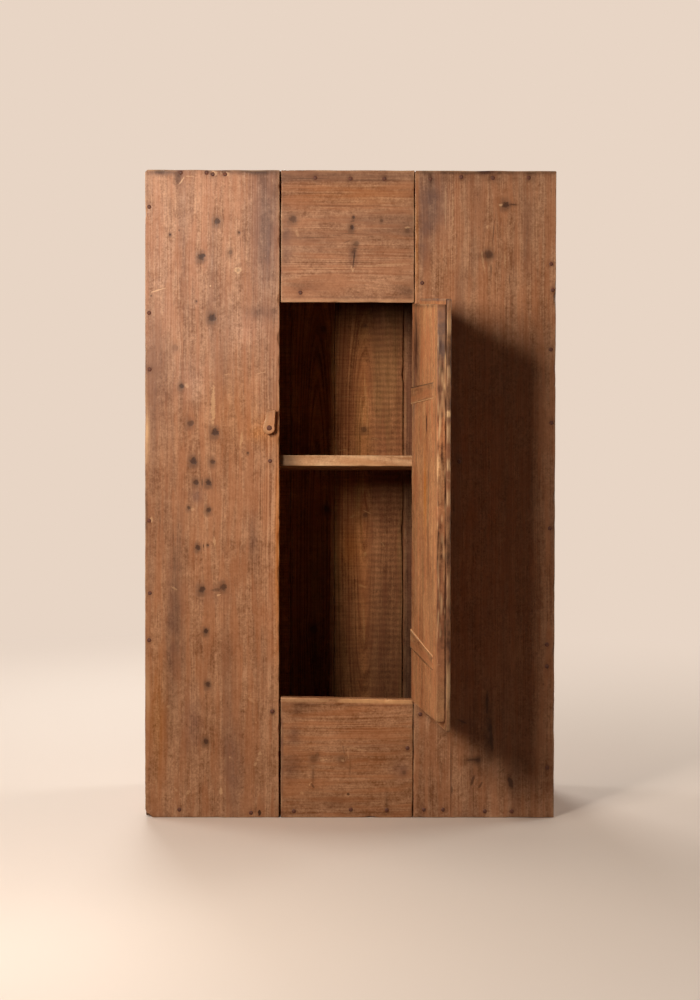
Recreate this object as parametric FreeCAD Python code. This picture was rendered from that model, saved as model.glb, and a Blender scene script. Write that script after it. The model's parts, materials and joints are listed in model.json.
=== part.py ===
import FreeCAD, Part
import math
import os

from FreeCAD import Placement, Rotation, Vector

# A jelly cupboard of old pine boards, nailed together without any joinery in the case.
# One lipped door hangs on the right of its opening on two iron butterfly hinges, and a
# wooden turn button on the left board holds it shut. One shelf lies inside on two cleats.
#
# Millimetres. +Z is up and the front faces -Y. The origin is on the floor, at the centre
# of the case's footprint. The door is built shut and then swung open about its pins.

# ---------------------------------------------------------------- driving dimensions

# case
height = 1620.0
width = 1025.0
depth = 405.0
front_thickness = 25.0
side_thickness = 25.0
back_thickness = 20.0
top_thickness = 28.0
bottom_thickness = 28.0

# front boards and the opening between them
front_left_width = 335.0
opening_width = 337.5
opening_top = 1291.0
sill_left = 302.5
sill_right = 297.0
top_panel_left_seam = 3.0
bottom_panel_left_seam = 4.5
panel_right_seam = 1.5
worn_corner = 9.0
chipped_corner_width = 14.0
chipped_corner_height = 21.0

# battens nailed across the front seams from inside
front_batten_thickness = 22.0
front_batten_lap = 55.0
upper_batten_low = 1300.0
upper_batten_height = 56.0
lower_batten_low = 163.0
lower_batten_height = 124.0

# seams between the boards of the sides, top, bottom and shelf, as the front board's share of the depth inside
side_front_width = 206.0
top_front_width = 190.0
bottom_front_width = 224.0
shelf_front_width = 196.0
board_seam = 0.8

# seams of the back, counted from its left edge: where each is, and how far it has opened
back_seams = [(168.0, 1.6), (355.5, 1.6), (474.5, 1.6), (660.5, 6.0), (848.0, 1.6)]

# shelf, which falls towards the back, and its cleats
shelf_top = 908.0
shelf_thickness = 27.0
shelf_fall_angle = 5.0
shelf_side_gap = 1.0
shelf_edge_gap = 0.5
cleat_height = 32.0
cleat_thickness = 22.0

# door: a board with a rebate all round, whose front lip laps the case
door_rear_thickness = 20.0
door_lip_thickness = 10.0
lip_gap = 0.5
hinge_edge_gap = 2.0
free_edge_gap = 5.5
top_edge_gap = 3.0
sill_gap = 1.7
top_fall = 10.5
lip_over_hinge_edge = 8.5
lip_over_free_edge = 8.0
lip_over_top = 10.0
lip_over_sill = 14.0
open_angle = 98.1

# door battens: height of the middle and the width, at the hinge end and at the free end
door_batten_groove = 8.0
door_batten_proud = 6.0
door_batten_flare = 1.7
door_batten_chamfer = 1.5
door_batten_stop = 51.0
upper_door_batten = {"hinge": (1059.0, 42.0), "free": (1077.0, 38.0)}
lower_door_batten = {"hinge": (454.5, 46.0), "free": (435.0, 34.0)}

# hinges
pin_beyond_lip = 6.0
pin_proud = 5.0
pin_radius = 2.4
pin_clearance = 0.08
pin_head_height = 1.5
knuckle_face_clearance = 0.3
knuckle_gap = 0.5
crank_clearance = 0.4
hinge_neck_height = 42.0
door_knuckle_height = 14.0
leaf_thickness = 2.0
leaf_length = 42.0
leaf_end_height = 64.0
leaf_nails = [(22.0, 0.0), (34.0, 19.0), (34.0, -19.0)]

# turn button, with its tongue up: sizes from the pivot, which stands off the middle of the hub
button_from_jamb = 24.5
button_height = 978.0
button_hub_radius = 15.0
button_hub_left = 1.5
button_hub_below = 1.0
button_tongue_height = 45.5
button_tongue_left = -4.6
button_tongue_right = 15.8
button_end_fall = 1.0
button_relief_start = 7.5
button_thickness = 8.0
button_gap = 0.4
tongue_gap = 0.5
pivot_radius = 2.6
pivot_clearance = 0.08
pivot_head_radius = 6.6
pivot_head_gap = 0.3
pivot_in_board = 20.0

# nails: their heads are hammered to eight facets, and the crown is a share of the head's width
nail_length = 52.0
short_nail_length = 40.0
leaf_nail_length = 22.0
door_nail_length = 31.0
nail_head_radius = 5.5
leaf_nail_head_radius = 4.2
nail_head_height = 1.6
nail_head_crown = 0.5
nail_head_facets = 8
nail_shank_sides = 4
nail_width = 4.4
nail_point_width = 1.4

# nails of the front: the share of the way across from the left, and millimetres in from the edge
top_row = [(0.086, 7), (0.149, 7), (0.164, 11), (0.194, 11), (0.413, 19), (0.499, 21), (0.581, 21),
           (0.693, 21), (0.768, 16), (0.845, 18), (0.932, 17)]
bottom_row = [(0.084, 20), (0.259, 12), (0.364, 16), (0.503, 20), (0.591, 19), (0.682, 20), (0.729, 20),
              (0.831, 16), (0.897, 16)]
# the share of the way up, and millimetres in from the side
left_edge_row = [(0.943, 10), (0.78, 10), (0.693, 11), (0.46, 10), (0.348, 12), (0.275, 10)]
right_edge_row = [(0.857, 12), (0.817, 8), (0.725, 12), (0.612, 10), (0.449, 13), (0.269, 19), (0.235, 19),
                  (0.078, 17)]
# nails of the battens and the shelf, from the opening's near jamb: outwards, and above the piece's lower edge
upper_batten_nails = [("right", 18, 40), ("left", -52, 15)]
lower_batten_nails = [("right", 17, 97), ("left", 17, 104), ("right", -15, 12)]
shelf_nails = [("left", 23), ("right", 112)]
# shares of the depth inside, of each back board's width and of the side's height
side_nail_shares = [0.12, 0.38, 0.66, 0.9]
back_nail_shares = [0.2, 0.8]
back_edge_shares = [0.2, 0.4, 0.62, 0.82]
door_nail_shares = [0.22, 0.52, 0.86]
cleat_nail_shares = [0.1, 0.45, 0.85]

# ---------------------------------------------------------------- places worked out from them

left_face = -width / 2
right_face = width / 2
front_face = -depth / 2
back_face = depth / 2
inside_left = left_face + side_thickness
inside_right = right_face - side_thickness
inside_front = front_face + front_thickness
inside_back = back_face - back_thickness
inside_depth = inside_back - inside_front
inside_top = height - top_thickness
left_jamb = left_face + front_left_width
right_jamb = left_jamb + opening_width
jamb = {"left": left_jamb, "right": right_jamb}
outwards = {"left": -1, "right": 1}
front_batten_back = inside_front + front_batten_thickness

shelf_slope = math.tan(math.radians(shelf_fall_angle))
shelf_front = inside_front + shelf_edge_gap
shelf_back = inside_back - shelf_edge_gap
shelf_upright_thickness = shelf_thickness / math.cos(math.radians(shelf_fall_angle))

lip_back = front_face - lip_gap
lip_front = lip_back - door_lip_thickness
door_inner_face = lip_back + door_rear_thickness
door_hinge_edge = right_jamb - hinge_edge_gap
door_free_edge = left_jamb + free_edge_gap
lip_hinge_edge = right_jamb + lip_over_hinge_edge
lip_free_edge = left_jamb - lip_over_free_edge

pin_x = lip_hinge_edge + pin_beyond_lip
pin_y = front_face - pin_proud
pin_to_lip_face = pin_y - lip_front
knuckle_radius = pin_proud - knuckle_face_clearance
pin_head_radius = pin_proud - leaf_thickness - pin_clearance

button_x = left_jamb - button_from_jamb
button_back = front_face - button_gap
tongue_back = lip_front - tongue_gap
button_front = tongue_back - button_thickness

TOWARDS_BACK = Vector(0, 1, 0)
TOWARDS_FRONT = Vector(0, -1, 0)
TOWARDS_RIGHT = Vector(1, 0, 0)
TOWARDS_LEFT = Vector(-1, 0, 0)
DOWN = Vector(0, 0, -1)


# ---------------------------------------------------------------- shapes

def box(x0, x1, y0, y1, z0, z1):
    """A square-edged piece between two opposite corners."""
    return Part.makeBox(x1 - x0, y1 - y0, z1 - z0, Vector(x0, y0, z0))


def face_of(corners):
    return Part.Face(Part.makePolygon(corners + corners[:1]))


def front_shape(outline, y0, y1):
    """A piece whose outline in x and z is carried back from y0 to y1."""
    return face_of([Vector(x, y0, z) for x, z in outline]).extrude(Vector(0, y1 - y0, 0))


def side_shape(outline, x0, x1):
    """A piece whose outline in y and z is carried across from x0 to x1."""
    return face_of([Vector(x0, y, z) for y, z in outline]).extrude(Vector(x1 - x0, 0, 0))


def plan_shape(outline, z0, z1):
    """A piece whose outline in x and y is carried up from z0 to z1."""
    return face_of([Vector(x, y, z0) for x, y in outline]).extrude(Vector(0, 0, z1 - z0))


def taper(near, far):
    """A flat-sided solid between two end outlines that have the same number of corners."""
    count = len(near)
    sides = [[near[i], near[(i + 1) % count], far[(i + 1) % count], far[i]] for i in range(count)]
    solid = Part.makeSolid(Part.makeShell([face_of(loop) for loop in [near, far] + sides]))
    if solid.Volume < 0:
        solid.reverse()
    return solid


def ring(corners, radius, y):
    """A regular outline round the Y axis, with a flat side uppermost."""
    turns = [2 * math.pi * (i + 0.5) / corners for i in range(corners)]
    return [Vector(radius * math.sin(a), y, radius * math.cos(a)) for a in turns]


def make_nail(length, head_radius):
    """A hand-made nail along +Y: a faceted head, and a square shank that tapers."""
    half_diagonal = math.sqrt(0.5)
    head = taper(ring(nail_head_facets, head_radius, 0),
                 ring(nail_head_facets, head_radius * nail_head_crown, -nail_head_height))
    shank = taper(ring(nail_shank_sides, nail_width * half_diagonal, 0),
                  ring(nail_shank_sides, nail_point_width * half_diagonal, length))
    return head.fuse(shank).removeSplitter()


def drive(nail, x, y, z, towards):
    """A copy of a nail with its head on the surface at x, y, z."""
    driven = nail.copy()
    driven.Placement = Placement(Vector(x, y, z), Rotation(TOWARDS_BACK, towards))
    return driven


def drill(piece, nails):
    """The piece with the holes that its nails have made."""
    near = [nail for nail in nails if piece.BoundBox.intersect(nail.BoundBox)]
    return piece.cut(near) if near else piece


def split_in_depth(front_width):
    """The front-to-back spans of two boards side by side that fill the depth inside."""
    seam = inside_front + front_width
    return {"front": (inside_front, seam - board_seam / 2), "rear": (seam + board_seam / 2, inside_back)}


# ---------------------------------------------------------------- case

def sill_height(x):
    """The height of the sloping top edge of the bottom panel."""
    return sill_left + (sill_right - sill_left) * (x - left_jamb) / opening_width


def shelf_height(y):
    """The height of the shelf's upper face, which falls towards the back."""
    return shelf_top - (y - shelf_front) * shelf_slope


def front_boards():
    """Two full-height boards, with a panel above and below the door between them."""
    left_board = [(left_face + chipped_corner_width, 0), (left_jamb, 0), (left_jamb, height),
                  (left_face + worn_corner, height), (left_face, height - worn_corner),
                  (left_face, chipped_corner_height)]
    panel_right = right_jamb - panel_right_seam
    bottom_left = left_jamb + bottom_panel_left_seam
    bottom_panel = [(bottom_left, 0), (panel_right, 0), (panel_right, sill_height(panel_right)),
                    (bottom_left, sill_height(bottom_left))]
    return {
        "front_left_board": front_shape(left_board, front_face, inside_front),
        "front_right_board": box(right_jamb, right_face, front_face, inside_front, 0, height),
        "front_top_panel": box(left_jamb + top_panel_left_seam, panel_right, front_face, inside_front,
                               opening_top, height),
        "front_bottom_panel": front_shape(bottom_panel, front_face, inside_front),
    }


def front_battens():
    """Two battens across the seams of the front, on its inside."""
    spans = {"upper": (upper_batten_low, upper_batten_height),
             "lower": (lower_batten_low, lower_batten_height)}
    return {f"front_{name}_batten": box(left_jamb - front_batten_lap, right_jamb + front_batten_lap,
                                        inside_front, front_batten_back, low, low + tall)
            for name, (low, tall) in spans.items()}


def case_boards():
    """The sides stand on the floor, the bottom lies between them and the top lies over them."""
    boards = {}
    for name, (y0, y1) in split_in_depth(side_front_width).items():
        boards[f"left_side_{name}_board"] = box(left_face, inside_left, y0, y1, 0, inside_top)
        boards[f"right_side_{name}_board"] = box(inside_right, right_face, y0, y1, 0, inside_top)
    for name, (y0, y1) in split_in_depth(top_front_width).items():
        boards[f"top_{name}_board"] = box(left_face, right_face, y0, y1, inside_top, height)
    for name, (y0, y1) in split_in_depth(bottom_front_width).items():
        boards[f"bottom_{name}_board"] = box(inside_left, inside_right, y0, y1, 0, bottom_thickness)
    return boards


def back_spans():
    """The left and right edge of each back board."""
    edges = [left_face]
    for place, opened in back_seams:
        edges += [left_face + place - opened / 2, left_face + place + opened / 2]
    edges.append(right_face)
    return list(zip(edges[::2], edges[1::2]))


def back_boards():
    """Upright boards that cover the whole back."""
    return {f"back_board_{i}": box(x0, x1, inside_back, back_face, 0, height)
            for i, (x0, x1) in enumerate(back_spans(), 1)}


def shelf():
    """Two boards and the cleats under their ends, which all fall towards the back."""
    pieces = {}
    middle = shelf_front + shelf_front_width
    spans = {"front": (shelf_front, middle - board_seam / 2), "rear": (middle + board_seam / 2, shelf_back)}
    for name, (y0, y1) in spans.items():
        outline = [(y0, shelf_height(y0)), (y1, shelf_height(y1)),
                   (y1, shelf_height(y1) - shelf_upright_thickness),
                   (y0, shelf_height(y0) - shelf_upright_thickness)]
        pieces[f"shelf_{name}_board"] = side_shape(outline, inside_left + shelf_side_gap,
                                                   inside_right - shelf_side_gap)
    under_front = shelf_height(shelf_front) - shelf_upright_thickness
    under_back = shelf_height(shelf_back) - shelf_upright_thickness
    cleat = [(shelf_front, under_front), (shelf_back, under_back), (shelf_back, under_back - cleat_height),
             (shelf_front, under_front - cleat_height)]
    pieces["shelf_left_cleat"] = side_shape(cleat, inside_left, inside_left + cleat_thickness)
    pieces["shelf_right_cleat"] = side_shape(cleat, inside_right - cleat_thickness, inside_right)
    return pieces


def case_nails():
    """Every nail of the case, in groups by where it is driven."""
    long_nail = make_nail(nail_length, nail_head_radius)
    short_nail = make_nail(short_nail_length, nail_head_radius)
    bottom_middle = bottom_thickness / 2
    top_middle = height - top_thickness / 2
    shelf_front_middle = shelf_top - shelf_upright_thickness / 2

    def from_front(nail, places):
        return [drive(nail, x, front_face, z, TOWARDS_BACK) for x, z in places]

    def beside(side, distance):
        return jamb[side] + outwards[side] * distance

    nails = {
        "front_top_nails": from_front(
            long_nail, [(left_face + width * share, height - inset) for share, inset in top_row]),
        "front_bottom_nails": from_front(
            long_nail, [(left_face + width * share, inset) for share, inset in bottom_row]),
        "front_left_nails": from_front(
            long_nail, [(left_face + inset, height * share) for share, inset in left_edge_row]),
        "front_right_nails": from_front(
            long_nail, [(right_face - inset, height * share) for share, inset in right_edge_row]),
        "front_batten_nails": from_front(
            short_nail,
            [(beside(side, out), upper_batten_low + up) for side, out, up in upper_batten_nails]
            + [(beside(side, out), lower_batten_low + up) for side, out, up in lower_batten_nails]),
        "shelf_front_nails": from_front(
            long_nail, [(beside(side, out), shelf_front_middle) for side, out in shelf_nails]),
    }

    side_middle = {"left": left_face + side_thickness / 2, "right": right_face - side_thickness / 2}
    side_face = {"left": (left_face, TOWARDS_RIGHT), "right": (right_face, TOWARDS_LEFT)}
    depths = [inside_front + inside_depth * share for share in side_nail_shares]
    nails["top_nails"] = [drive(long_nail, x, y, height, DOWN) for x in side_middle.values() for y in depths]
    nails["side_bottom_nails"] = [drive(long_nail, x, y, bottom_middle, towards)
                                  for x, towards in side_face.values() for y in depths]

    shelf_end = shelf_height(shelf_back) - shelf_upright_thickness / 2
    back = [(x0 + (x1 - x0) * share, z) for x0, x1 in back_spans() for share in back_nail_shares
            for z in (bottom_middle, shelf_end, top_middle)]
    back += [(x, height * share) for x in side_middle.values() for share in back_edge_shares]
    nails["back_nails"] = [drive(long_nail, x, back_face, z, TOWARDS_FRONT) for x, z in back]

    cleat_places = [shelf_front + (shelf_back - shelf_front) * share for share in cleat_nail_shares]
    cleat_middle = shelf_upright_thickness + cleat_height / 2
    cleat_faces = [(inside_left + cleat_thickness, TOWARDS_LEFT),
                   (inside_right - cleat_thickness, TOWARDS_RIGHT)]
    nails["cleat_nails"] = [drive(short_nail, x, y, shelf_height(y) - cleat_middle, towards)
                            for x, towards in cleat_faces for y in cleat_places]
    return nails


# ---------------------------------------------------------------- door, as it is when shut

def door_batten_middle(batten, x):
    """The height of a door batten's centre line at x."""
    end = door_free_edge + door_batten_stop
    share = (door_hinge_edge - x) / (door_hinge_edge - end)
    return batten["hinge"][0] + (batten["free"][0] - batten["hinge"][0]) * share


def door_batten(batten):
    """A tapered batten in a dovetailed groove, entered from the hinge edge."""
    def section(x, middle, tall):
        """The cross-section: widest at the bottom of the groove, chamfered where it stands proud."""
        steps = [(door_inner_face - door_batten_groove, tall / 2 + door_batten_flare),
                 (door_inner_face, tall / 2),
                 (door_inner_face + door_batten_proud, tall / 2 - door_batten_chamfer)]
        upper = [Vector(x, y, middle + half) for y, half in steps]
        lower = [Vector(x, y, middle - half) for y, half in reversed(steps)]
        return upper + lower
    return taper(section(door_hinge_edge, *batten["hinge"]),
                 section(door_free_edge + door_batten_stop, *batten["free"]))


def door_board(battens):
    """The rebated board: the thick part fills the opening and the lip laps the case."""
    hinge_top = opening_top - top_edge_gap
    rear = [(door_free_edge, sill_height(door_free_edge) + sill_gap),
            (door_hinge_edge, sill_height(door_hinge_edge) + sill_gap),
            (door_hinge_edge, hinge_top), (door_free_edge, hinge_top - top_fall)]
    lip_low = sill_right - lip_over_sill
    lip_top = opening_top + lip_over_top
    lip = [(lip_free_edge, lip_low), (lip_hinge_edge, lip_low), (lip_hinge_edge, lip_top),
           (lip_free_edge, lip_top - top_fall)]
    board = front_shape(rear, lip_back, door_inner_face).fuse(front_shape(lip, lip_front, lip_back))
    return board.cut(battens)


# ---------------------------------------------------------------- hinges, with the pin along the Z axis

def knuckle(low, high):
    """One rolled knuckle, bored for the pin."""
    outside = Part.makeCylinder(knuckle_radius, high - low, Vector(0, 0, low))
    return outside.cut(Part.makeCylinder(pin_radius + pin_clearance, high - low, Vector(0, 0, low)))


def leaf_outline(root, neck_low):
    """Half a butterfly: from the root it flares out to the leaf's end, then back."""
    lower = [(root, -neck_low), (leaf_length, -leaf_end_height / 2)]
    return lower + [(x, -z) for x, z in reversed(lower)]


def stile_leaf():
    """The leaf on the case, flat on the board, with the two outer knuckles."""
    neck = hinge_neck_height / 2
    room = door_knuckle_height / 2 + knuckle_gap
    plate = front_shape(leaf_outline(0, neck), pin_proud - leaf_thickness, pin_proud)
    clear = knuckle_radius + knuckle_gap
    plate = plate.cut(box(-clear, clear, -clear, pin_proud + clear, -room, room))
    plate = plate.cut(Part.makeCylinder(pin_radius + pin_clearance, 2 * neck, Vector(0, 0, -neck)))
    return plate.fuse([knuckle(room, neck), knuckle(-neck, -room)]).removeSplitter()


def door_leaf():
    """The leaf on the door's lip, cranked at 45 degrees from the middle knuckle over the lip's edge."""
    middle = door_knuckle_height / 2
    under = pin_to_lip_face
    over = under + leaf_thickness
    inner = knuckle_radius - leaf_thickness
    bend = pin_beyond_lip - crank_clearance
    start = bend - (under - inner)
    lean = leaf_thickness * math.tan(math.radians(22.5))
    strap = [(0, -knuckle_radius), (-start - lean, -knuckle_radius), (-bend - lean, -over),
             (-leaf_length, -over), (-leaf_length, -under), (-bend, -under), (-start, -inner), (0, -inner)]
    strap = plan_shape(strap, -leaf_end_height, leaf_end_height)
    neck = front_shape([(-bend, -middle), (0, -middle), (0, middle), (-bend, middle)], -over, 0)
    wing = front_shape([(-x, z) for x, z in leaf_outline(bend, hinge_neck_height / 2)], -over, 0)
    return strap.common(neck.fuse(wing)).fuse(knuckle(-middle, middle)).removeSplitter()


def hinge_pin():
    """A rivet-like pin with a head peened over each end."""
    half = hinge_neck_height / 2
    body = Part.makeCylinder(pin_radius, 2 * half, Vector(0, 0, -half))
    ends = [Part.makeCone(pin_head_radius, pin_radius, pin_head_height, Vector(0, 0, side * half),
                          Vector(0, 0, side)) for side in (-1, 1)]
    return body.fuse(ends).removeSplitter()


def at_hinge(shape, z):
    """A hinge piece moved from the Z axis to its place on the case."""
    placed = shape.copy()
    placed.translate(Vector(pin_x, pin_y, z))
    return placed


# ---------------------------------------------------------------- turn button

def turn_button():
    """A round hub that turns on the pivot, and a tongue that is cut back to pass over the door's lip."""
    hub_middle = Vector(button_x - button_hub_left, button_front, button_height - button_hub_below)
    hub = Part.makeCylinder(button_hub_radius, button_back - button_front, hub_middle, TOWARDS_BACK)
    hub_reach = math.sqrt(button_hub_radius ** 2 - button_hub_below ** 2)
    outline = [(button_tongue_left, button_tongue_height),
               (button_tongue_right, button_tongue_height - button_end_fall),
               (hub_reach - button_hub_left, 0), (-hub_reach - button_hub_left, 0)]
    tongue = front_shape([(button_x + x, button_height + z) for x, z in outline], button_front, button_back)
    relief = box(button_x - button_tongue_height, button_x + button_tongue_height, tongue_back, button_back,
                 button_height + button_relief_start, button_height + button_tongue_height)
    bore = Part.makeCylinder(pivot_radius + pivot_clearance, button_back - button_front,
                             Vector(button_x, button_front, button_height), TOWARDS_BACK)
    return hub.fuse(tongue).removeSplitter().cut([relief, bore])


def button_pivot():
    """The forged nail that the button turns on: a round shank, tapered where it enters the board."""
    under_head = Vector(button_x, button_front - pivot_head_gap, button_height)
    at_board = Vector(button_x, front_face, button_height)
    head = Part.makeCone(pivot_head_radius, pivot_head_radius * nail_head_crown, nail_head_height, under_head,
                         TOWARDS_FRONT)
    shank = Part.makeCylinder(pivot_radius, at_board.y - under_head.y, under_head, TOWARDS_BACK)
    point = Part.makeCone(pivot_radius, nail_point_width / 2, pivot_in_board, at_board, TOWARDS_BACK)
    return head.fuse([shank, point]).removeSplitter()


# ---------------------------------------------------------------- assembly

def hinges():
    """Both hinges and their nails. A hinge sits level with the hinge end of each door batten."""
    case, door, case_side_nails, door_side_nails = {}, {}, [], []
    leaf_nail = make_nail(leaf_nail_length, leaf_nail_head_radius)
    for name, batten in (("upper", upper_door_batten), ("lower", lower_door_batten)):
        z = batten["hinge"][0]
        case[f"{name}_hinge_stile_leaf"] = at_hinge(stile_leaf(), z)
        case[f"{name}_hinge_pin"] = at_hinge(hinge_pin(), z)
        door[f"{name}_hinge_door_leaf"] = at_hinge(door_leaf(), z)
        for out, up in leaf_nails:
            stile_surface = front_face - leaf_thickness
            lip_surface = lip_front - leaf_thickness
            case_side_nails.append(drive(leaf_nail, pin_x + out, stile_surface, z + up, TOWARDS_BACK))
            door_side_nails.append(drive(leaf_nail, pin_x - out, lip_surface, z + up, TOWARDS_BACK))
    return case, door, case_side_nails, door_side_nails


def build_case(hinge_parts, hinge_nails):
    """All that stands still: the case, its nails, the hinges' fixed half and the button's pivot."""
    pivot = button_pivot()
    nails = case_nails()
    nails["hinge_stile_nails"] = hinge_nails
    every_nail = [nail for group in nails.values() for nail in group]
    boards = {**front_boards(), **front_battens(), **case_boards(), **back_boards(), **shelf(), **hinge_parts}
    case = {name: drill(board, every_nail + [pivot]) for name, board in boards.items()}
    case.update({name: Part.makeCompound(group) for name, group in nails.items()})
    case["button_pivot"] = pivot
    return case


def build_door(hinge_parts, hinge_nails):
    """All that swings, first as it is when shut and then opened about the hinge pins."""
    door_nail = make_nail(door_nail_length, nail_head_radius)
    battens = {"door_upper_batten": upper_door_batten, "door_lower_batten": lower_door_batten}
    solids = {name: door_batten(batten) for name, batten in battens.items()}
    batten_length = door_hinge_edge - door_free_edge - door_batten_stop
    batten_nails = []
    for batten in battens.values():
        for share in door_nail_shares:
            x = door_hinge_edge - batten_length * share
            batten_nails.append(drive(door_nail, x, lip_front, door_batten_middle(batten, x), TOWARDS_BACK))
    boards = {"door_board": door_board(list(solids.values())), **solids, **hinge_parts}
    door = {name: drill(board, batten_nails + hinge_nails) for name, board in boards.items()}
    door["door_batten_nails"] = Part.makeCompound(batten_nails)
    door["hinge_door_nails"] = Part.makeCompound(hinge_nails)
    for piece in door.values():
        piece.rotate(Vector(pin_x, pin_y, 0), Vector(0, 0, 1), open_angle)
    return door


case_hinge_parts, door_hinge_parts, stile_leaf_nails, door_leaf_nails = hinges()
pieces = {**build_case(case_hinge_parts, stile_leaf_nails),
          **build_door(door_hinge_parts, door_leaf_nails),
          "turn_button": turn_button()}
for node, shape in pieces.items():
    shape.exportStep(f"parts/{node}.step")
print(len(pieces), "pieces")
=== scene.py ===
import json
import math

import bpy
import numpy as np
from mathutils import Matrix, Vector


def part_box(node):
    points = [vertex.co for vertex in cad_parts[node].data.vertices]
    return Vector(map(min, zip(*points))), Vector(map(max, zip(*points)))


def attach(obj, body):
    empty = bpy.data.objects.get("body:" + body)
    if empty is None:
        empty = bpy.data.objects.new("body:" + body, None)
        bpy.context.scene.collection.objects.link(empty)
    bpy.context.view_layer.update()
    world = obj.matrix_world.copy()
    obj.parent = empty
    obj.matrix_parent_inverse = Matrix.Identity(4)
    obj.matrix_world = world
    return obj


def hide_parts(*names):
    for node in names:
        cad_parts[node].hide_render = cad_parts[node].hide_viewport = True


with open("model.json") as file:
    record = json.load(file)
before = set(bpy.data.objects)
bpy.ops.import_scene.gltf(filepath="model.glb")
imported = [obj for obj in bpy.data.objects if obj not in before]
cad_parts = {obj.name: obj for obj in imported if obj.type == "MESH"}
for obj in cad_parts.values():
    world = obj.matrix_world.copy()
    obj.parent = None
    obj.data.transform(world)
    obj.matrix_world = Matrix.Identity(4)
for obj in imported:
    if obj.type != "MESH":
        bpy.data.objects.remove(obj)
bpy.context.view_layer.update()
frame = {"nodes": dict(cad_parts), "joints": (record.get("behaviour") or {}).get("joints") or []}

# A jelly cupboard of waxed old pine. Metres, in the frame of the solids: +Z up, front to -Y.
# Every board is a numpy lattice with worn arrises, and carries its own grain as attributes:
#   wood   how far from the pith, how far across the board, how far along it
#   knot   place relative to the nearest knot, in knot radii, and how dark it is there
#   scar   place relative to the nearest scar, in half-sizes, and how strong it is there: light above
#          nothing, and a dark crack below
#   marks  stain, wear, grey bloom
#   tint   lightness, saturation, strength of the growth lines
#   saw    strength of the saw marks, and how coarse they are

MM = 0.001
FAR = 99.0               # a knot or scar coordinate that means there is none


# ---------------------------------------------------------------- what the frame says

def corners_of(node):
    """All the corners of a CAD node, as an array."""
    mesh = frame["nodes"][node].data
    corners = np.empty(len(mesh.vertices) * 3, np.float32)
    mesh.vertices.foreach_get("co", corners)
    return corners.reshape(-1, 3).astype(float)


joints = {joint["name"]: joint for joint in frame["joints"]}
pin = np.array(joints["door_swing"]["pos_m"])
opened = -math.radians(joints["door_swing"]["range_deg"][0])
pivot = np.array(joints["button_turn"]["pos_m"])


def turned(points, angle):
    """Points turned about the upright line of the hinge pins."""
    c, s = math.cos(angle), math.sin(angle)
    return (points - pin) @ np.array([[c, s, 0], [-s, c, 0], [0, 0, 1]]) + pin


def centres(node, first, second):
    """Where each nail of a group is, on the two axes across it. Nails stand further apart than reach."""
    reach = 14 * MM
    flat = np.unique(np.round(corners_of(node)[:, [first, second]], 5), axis=0)
    near = np.abs(flat[:, None] - flat[None]).max(2) < reach
    label = near.argmax(1)
    return np.array([flat[label == each].mean(0) for each in np.unique(label)])


# ---------------------------------------------------------------- numbers that vary smoothly

def ripple(points, lengths, seed, waves=9):
    """A smooth random height of about -1 to 1: the sum of sine waves whose directions, phases and
    wavelengths are drawn at random round the lengths given for each axis."""
    rng = np.random.default_rng(seed)
    heading = rng.normal(size=(waves, points.shape[1]))
    heading /= np.linalg.norm(heading, axis=1, keepdims=True)
    pulse = heading * 2 * math.pi / np.asarray(lengths) * rng.uniform(0.6, 1.8, (waves, 1))
    return np.sin(points @ pulse.T + rng.uniform(0, 2 * math.pi, waves)).sum(1) / math.sqrt(waves)


def bell(points, centre, spread):
    """1 at the centre, falling off as a bell curve with its own spread on each axis."""
    return np.exp(-(((points - np.asarray(centre)) / np.asarray(spread)) ** 2).sum(-1))


# ---------------------------------------------------------------- mesh

def lines_between(low, high, step, rim):
    """Lattice positions: close together in the rim at each end, about step apart between the rims."""
    rim = min(rim, 0.3 * (high - low))
    edge = rim * np.array([0, 0.1, 0.22, 0.36, 0.55, 0.78])
    count = max(2, int(round((high - low - 2 * rim) / step)) + 1)
    return np.concatenate([low + edge, np.linspace(low + rim, high - rim, count), high - edge[::-1]])


def lattice_skin(lines):
    """The points on the six sides of a box-shaped lattice, shared along its edges, and their quads."""
    grid = np.stack(np.meshgrid(*lines, indexing="ij"), -1)
    skin = np.ones(grid.shape[:3], bool)
    skin[1:-1, 1:-1, 1:-1] = False
    index = np.full(grid.shape[:3], -1)
    index[skin] = np.arange(skin.sum())
    quads = []
    for axis in range(3):
        for end in (0, -1):
            side = index.take(end, axis)
            loop = np.stack([side[:-1, :-1], side[1:, :-1], side[1:, 1:], side[:-1, 1:]], -1).reshape(-1, 4)
            quads.append(loop[:, ::-1] if (end == 0) != (axis == 1) else loop)
    return grid[skin], np.concatenate(quads)


def tube_skin(rings):
    """Quads that join closed rings of points into a skin, with a fan on the first and the last ring.
    rings has the shape (rings, points round, 3), and runs anticlockwise seen from the last ring."""
    count, around = rings.shape[:2]
    index = np.arange(count * around).reshape(count, around)
    after = np.roll(index, -1, axis=1)
    sides = np.stack([index[:-1], after[:-1], after[1:], index[1:]], -1).reshape(-1, 4)
    first = np.stack([after[0], index[0], np.full(around, count * around)], -1)
    last = np.stack([index[-1], after[-1], np.full(around, count * around + 1)], -1)
    points = np.concatenate([rings.reshape(-1, 3), rings[:1].mean(1), rings[-1:].mean(1)])
    return points, [*sides.tolist(), *first.tolist(), *last.tolist()]


def placed(name, data):
    """A new object at the origin, in the scene."""
    made = bpy.data.objects.new(name, data)
    bpy.context.scene.collection.objects.link(made)
    return made


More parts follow.
